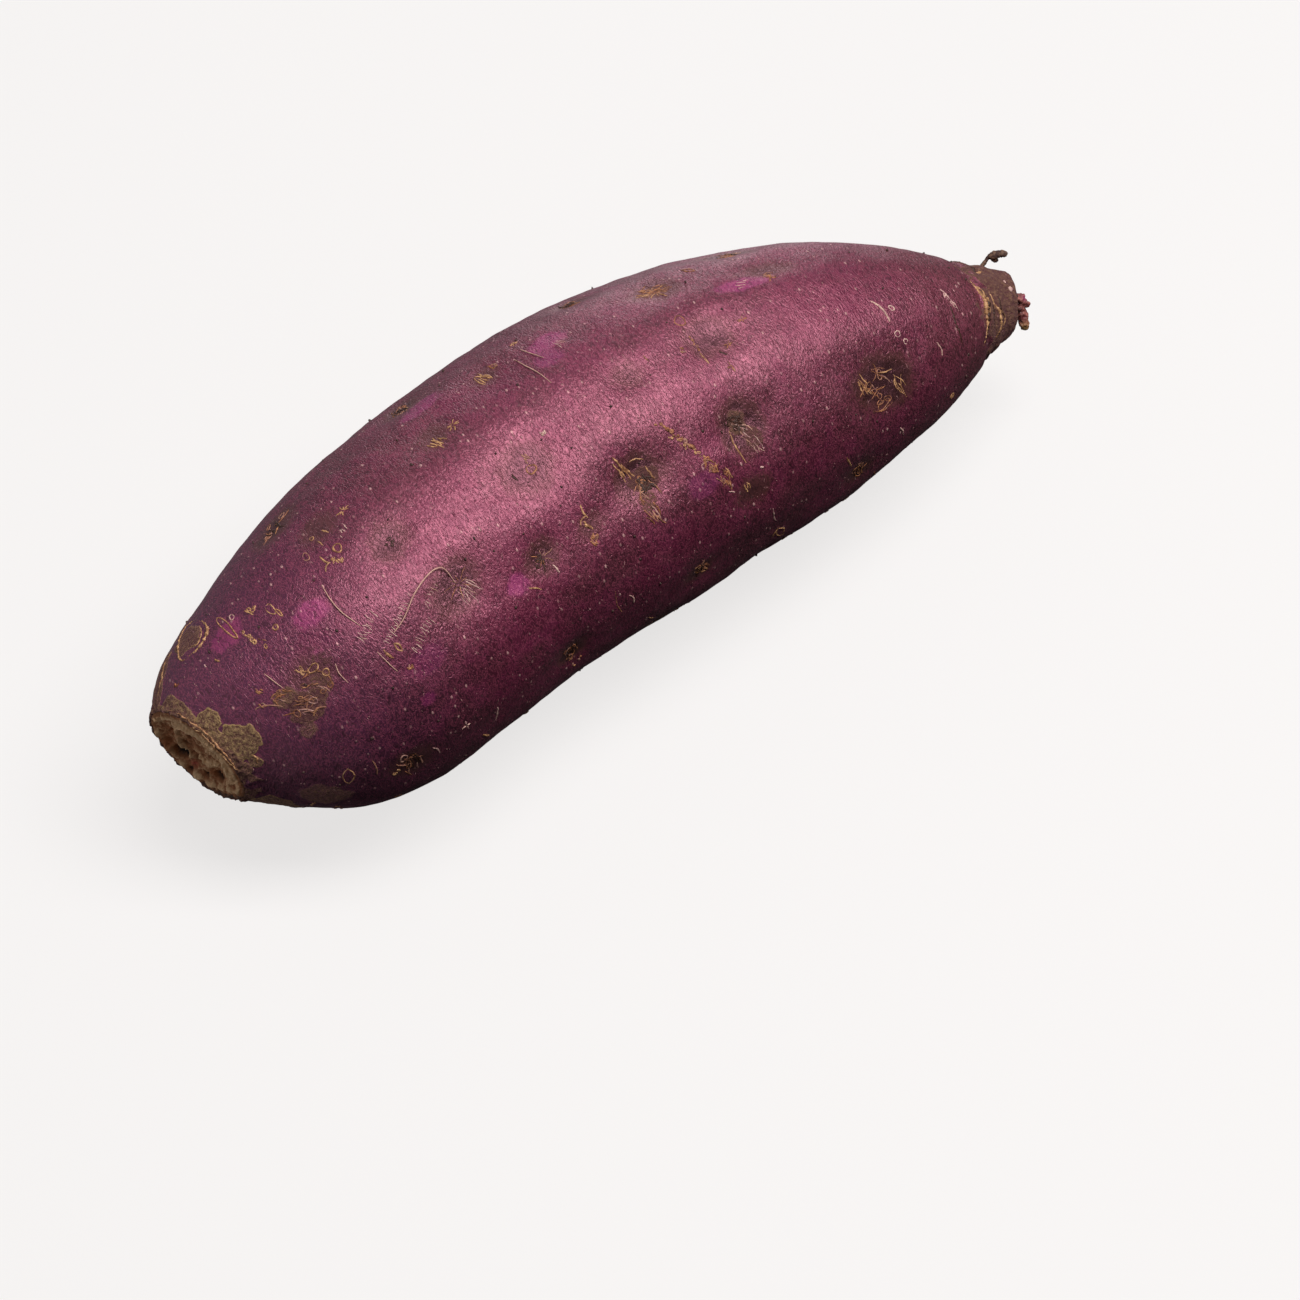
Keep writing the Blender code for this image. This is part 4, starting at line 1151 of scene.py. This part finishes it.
# %% [markdown]
# ## Pores and specks
#
# Breathing pores dot the whole skin: pale specks, short dashes that run around the root, and
# a few dark bumps that show on the outline. One Geometry Nodes tree strews tiny domes over the
# skin. A mark this small needs only a few faces.

# %% The speck tree
SPECK_SOCKETS = (("Geometry", "NodeSocketGeometry"), ("Per square metre", "NodeSocketFloat"),
                 ("Spacing", "NodeSocketFloat"), ("Smallest", "NodeSocketVector"),
                 ("Largest", "NodeSocketVector"), ("Seed", "NodeSocketInt"),
                 ("Material", "NodeSocketMaterial"))
ASKEW = 0.45  # the most that a speck turns away from the way around the root, in radians
specks, given = new_tree("specks", SPECK_SOCKETS)
strewn = add(specks, "GeometryNodeDistributePointsOnFaces", {"distribute_method": "POISSON"},
             {"Mesh": given["Geometry"], "Distance Min": given["Spacing"],
              "Density Max": given["Per square metre"], "Seed": given["Seed"]}, out=None).outputs
girdle = add(specks, "ShaderNodeVectorMath", {"operation": "CROSS_PRODUCT"},
             {0: strewn["Normal"], 1: (1, 0, 0)})
way = add(specks, "FunctionNodeAlignRotationToVector", {"axis": "X", "pivot_axis": "Z"},
          {"Rotation": strewn["Rotation"], "Vector": girdle})
askew = add(specks, "FunctionNodeRandomValue", {"data_type": "FLOAT"},
            {2: -ASKEW, 3: ASKEW, 8: given["Seed"]}, out=1)
spin = add(specks, "FunctionNodeAxisAngleToRotation", {}, {"Axis": (0, 0, 1), "Angle": askew})
way = add(specks, "FunctionNodeRotateRotation", {"rotation_space": "LOCAL"}, {0: way, 1: spin})
size = add(specks, "FunctionNodeRandomValue", {"data_type": "FLOAT_VECTOR"},
           {0: given["Smallest"], 1: given["Largest"], 8: given["Seed"]})
dome_mesh = add(specks, "GeometryNodeMeshIcoSphere", {}, {"Radius": 0.5, "Subdivisions": 1})
placed = add(specks, "GeometryNodeInstanceOnPoints", {},
             {"Points": strewn["Points"], "Instance": dome_mesh, "Rotation": way, "Scale": size})
placed = add(specks, "GeometryNodeSetShadeSmooth", {}, {"Geometry": placed})
end_tree(specks, placed, given["Material"])

# %% Build the specks
PER_CM2 = 10000  # square centimetres in a square metre
pore_stuff, tree, shader, place = new_material("corky_pore")
spot = add(tree, "ShaderNodeTexWhiteNoise", {}, {"Vector": place}, out="Value")
colour = add(tree, "ShaderNodeMix", RGBA, {0: spot, 6: linear("#86505c"), 7: linear("#c4968e")}, out=2)
fill(tree, shader, {"Base Color": colour, "Roughness": 0.5})
bump_stuff, tree, shader, place = new_material("dark_bark_bump")
spot = add(tree, "ShaderNodeTexNoise", {}, {"Vector": place, "Scale": PER_MM / 3})
colour = add(tree, "ShaderNodeMix", RGBA, {0: spot, 6: linear("#1c0d0c"), 7: linear("#50332a")}, out=2)
fill(tree, shader, {"Base Color": colour, "Roughness": 0.6})
# Name, specks per cm2, spacing, smallest and largest length, width and height in mm, material
SPECKS = (("bright_pores", 0.9, 1.6, (0.16, 0.10, 0.06), (0.52, 0.20, 0.13), pore_stuff),
          ("faint_pores", 5.0, 0.8, (0.10, 0.10, 0.05), (0.24, 0.16, 0.08), pore_stuff),
          ("pore_dashes", 3.0, 1.2, (0.30, 0.08, 0.05), (1.10, 0.13, 0.09), pore_stuff),
          ("dark_bumps", 0.6, 3.0, (0.35, 0.30, 0.40), (0.80, 0.60, 0.90), bump_stuff))
FIRST_SEED = 3
for seed, (name, density, spacing, smallest, largest, material) in enumerate(SPECKS, FIRST_SEED):
    values = {"Per square metre": density * PER_CM2, "Spacing": spacing * MM, "Seed": seed,
              "Smallest": [v * MM for v in smallest], "Largest": [v * MM for v in largest],
              "Material": material}
    piece = run_tree(show(name, skin.data.copy()), specks, values)
    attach(piece, "root")

# %% [markdown]
# ## Camera and studio
#
# The root is seen from above, a little toward its scar end, through a long lens. One soft light,
# long and narrow, hangs high over the tip and is turned a little, so a broad satin shine runs along
# the root and comes nearer toward the tip, and the near side falls into the dark. The air behind the
# root is brighter, most of all low down past the tip, and that lights the far edge. A little light
# reaches the scar from its own side. The floor is a plain pale sweep that turns up into a wall.

# %% Camera
AZIMUTH, ELEVATION, DISTANCE = -34.2, 57.7, 0.610
AIM = Vector((-0.0120, -0.0337, 0.028))


def direction(azimuth, elevation):
    """The direction from the root toward a place at that azimuth and elevation, in degrees."""
    a, e = math.radians(azimuth), math.radians(elevation)
    return Vector((math.sin(a) * math.cos(e), -math.cos(a) * math.cos(e), math.sin(e)))


lens = bpy.data.cameras.new("camera")
lens.lens = 100
camera = show("camera", lens)
camera.location = AIM + direction(AZIMUTH, ELEVATION) * DISTANCE
camera.rotation_euler = (camera.location - AIM).to_track_quat("Z", "Y").to_euler()
bpy.context.scene.camera = camera
print("camera at", [round(v, 3) for v in camera.location])

# %% Soft light
LIGHT_AZIMUTH, LIGHT_ELEVATION, LIGHT_DISTANCE, LIGHT_POWER = 64, 71, 1.1, 14.4
LIGHT_WIDTH, LIGHT_LENGTH, LIGHT_TURN = 0.40, 1.0, -38
softbox = bpy.data.lights.new("softbox", "AREA")
softbox.shape = "RECTANGLE"
softbox.size = LIGHT_LENGTH
softbox.size_y = LIGHT_WIDTH
softbox.energy = LIGHT_POWER
hung = show("softbox", softbox)
hung.location = direction(LIGHT_AZIMUTH, LIGHT_ELEVATION) * LIGHT_DISTANCE
across = Vector((0, 1, 0)).cross(hung.location).normalized()
facing = hung.location.normalized()
across = Matrix.Rotation(math.radians(LIGHT_TURN), 3, facing) @ across
hung.rotation_euler = Matrix((across, facing.cross(across), facing)).transposed().to_euler()

# %% Dim surroundings, brighter above and behind than below
world = bpy.data.worlds.new("studio")
world.use_nodes = True
bpy.context.scene.world = world
air = world.node_tree
looking = add(air, "ShaderNodeTexCoord", out="Generated")
way = add(air, "ShaderNodeSeparateXYZ", {}, {0: looking}, out=None).outputs
# Parts of its light: the axis, where the part starts and is full, its least and its most
AIR = {"above": ("Z", -0.2, 0.7, 0, 0.085), "behind": ("Y", 0.1, 0.7, 0.008, 0.22),
       "low down": ("Y", 0.65, 1.0, 0, 1), "tipward": ("X", 0.35, 0.56, 0, 8),
       "scarward": ("X", -0.4, -0.95, 0, 0.38)}
parts = {}
for title, (axis, start, full, least, most) in AIR.items():
    parts[title] = add(air, "ShaderNodeMapRange", SMOOTH,
                       {"Value": way[axis], "From Min": start, "From Max": full,
                        "To Min": least, "To Max": most})
behind = add(air, "ShaderNodeMath", {"operation": "MULTIPLY_ADD"},
             {0: parts["low down"], 1: parts["tipward"], 2: parts["behind"]})
behind = add(air, "ShaderNodeMath", {"operation": "ADD"}, {0: behind, 1: parts["scarward"]})
brightness = add(air, "ShaderNodeMath", {"operation": "ADD"}, {0: parts["above"], 1: behind})
fill(air, air.nodes["Background"], {"Strength": brightness, "Color": linear("#f4f4f6")})

# %% Floor
FLOOR_REACH, WALL_HEIGHT, BEND = 3.0, 2.5, 0.6  # metres, the bend's radius last
SPOKES = 96
FLOOR_GLOW = 0.78  # the board glows faintly, as when it is lit through, so its shadows stay light
floor_stuff, tree, shader, place = new_material("matt_painted_board")
paint = add(tree, "ShaderNodeTexNoise", {}, {"Vector": place, "Scale": 3, "Detail": 2})
tint = add(tree, "ShaderNodeMix", RGBA, {0: paint, 6: linear("#6d6b6a"), 7: linear("#716f6e")}, out=2)
fill(tree, shader, {"Base Color": tint, "Roughness": 0.9, "Specular IOR Level": 0.1,
                    "Emission Color": linear("#fbf9f8"), "Emission Strength": FLOOR_GLOW})
profile = [(FLOOR_REACH * t, 0) for t in (0.2, 0.5, 0.8, 1.0)]
for a in np.linspace(0.2, math.pi / 2, 8):
    profile.append((FLOOR_REACH + BEND * math.sin(a), BEND - BEND * math.cos(a)))
profile.append((FLOOR_REACH + BEND, WALL_HEIGHT))
spokes = np.linspace(0, 2 * math.pi, SPOKES, endpoint=False)
sweep = [(r * math.cos(a), r * math.sin(a), z) for r, z in profile for a in spokes]
sweep_faces = grid_faces(len(profile), SPOKES) + cap_faces(SPOKES, 0, len(sweep), True)
sweep_faces = [face[::-1] for face in sweep_faces]
sweep.append((0, 0, 0))
for name, side in (("floor_near", -1), ("floor_far", 1)):
    half = [face for face in sweep_faces if side * sum(sweep[corner][1] for corner in face) > 0]
    floor = make_piece(name, sweep, half, floor_stuff)
    floor.visible_diffuse = False
    floor.visible_glossy = False

# %% Plain colours: what is set is what is seen
bpy.context.scene.view_settings.view_transform = "Standard"
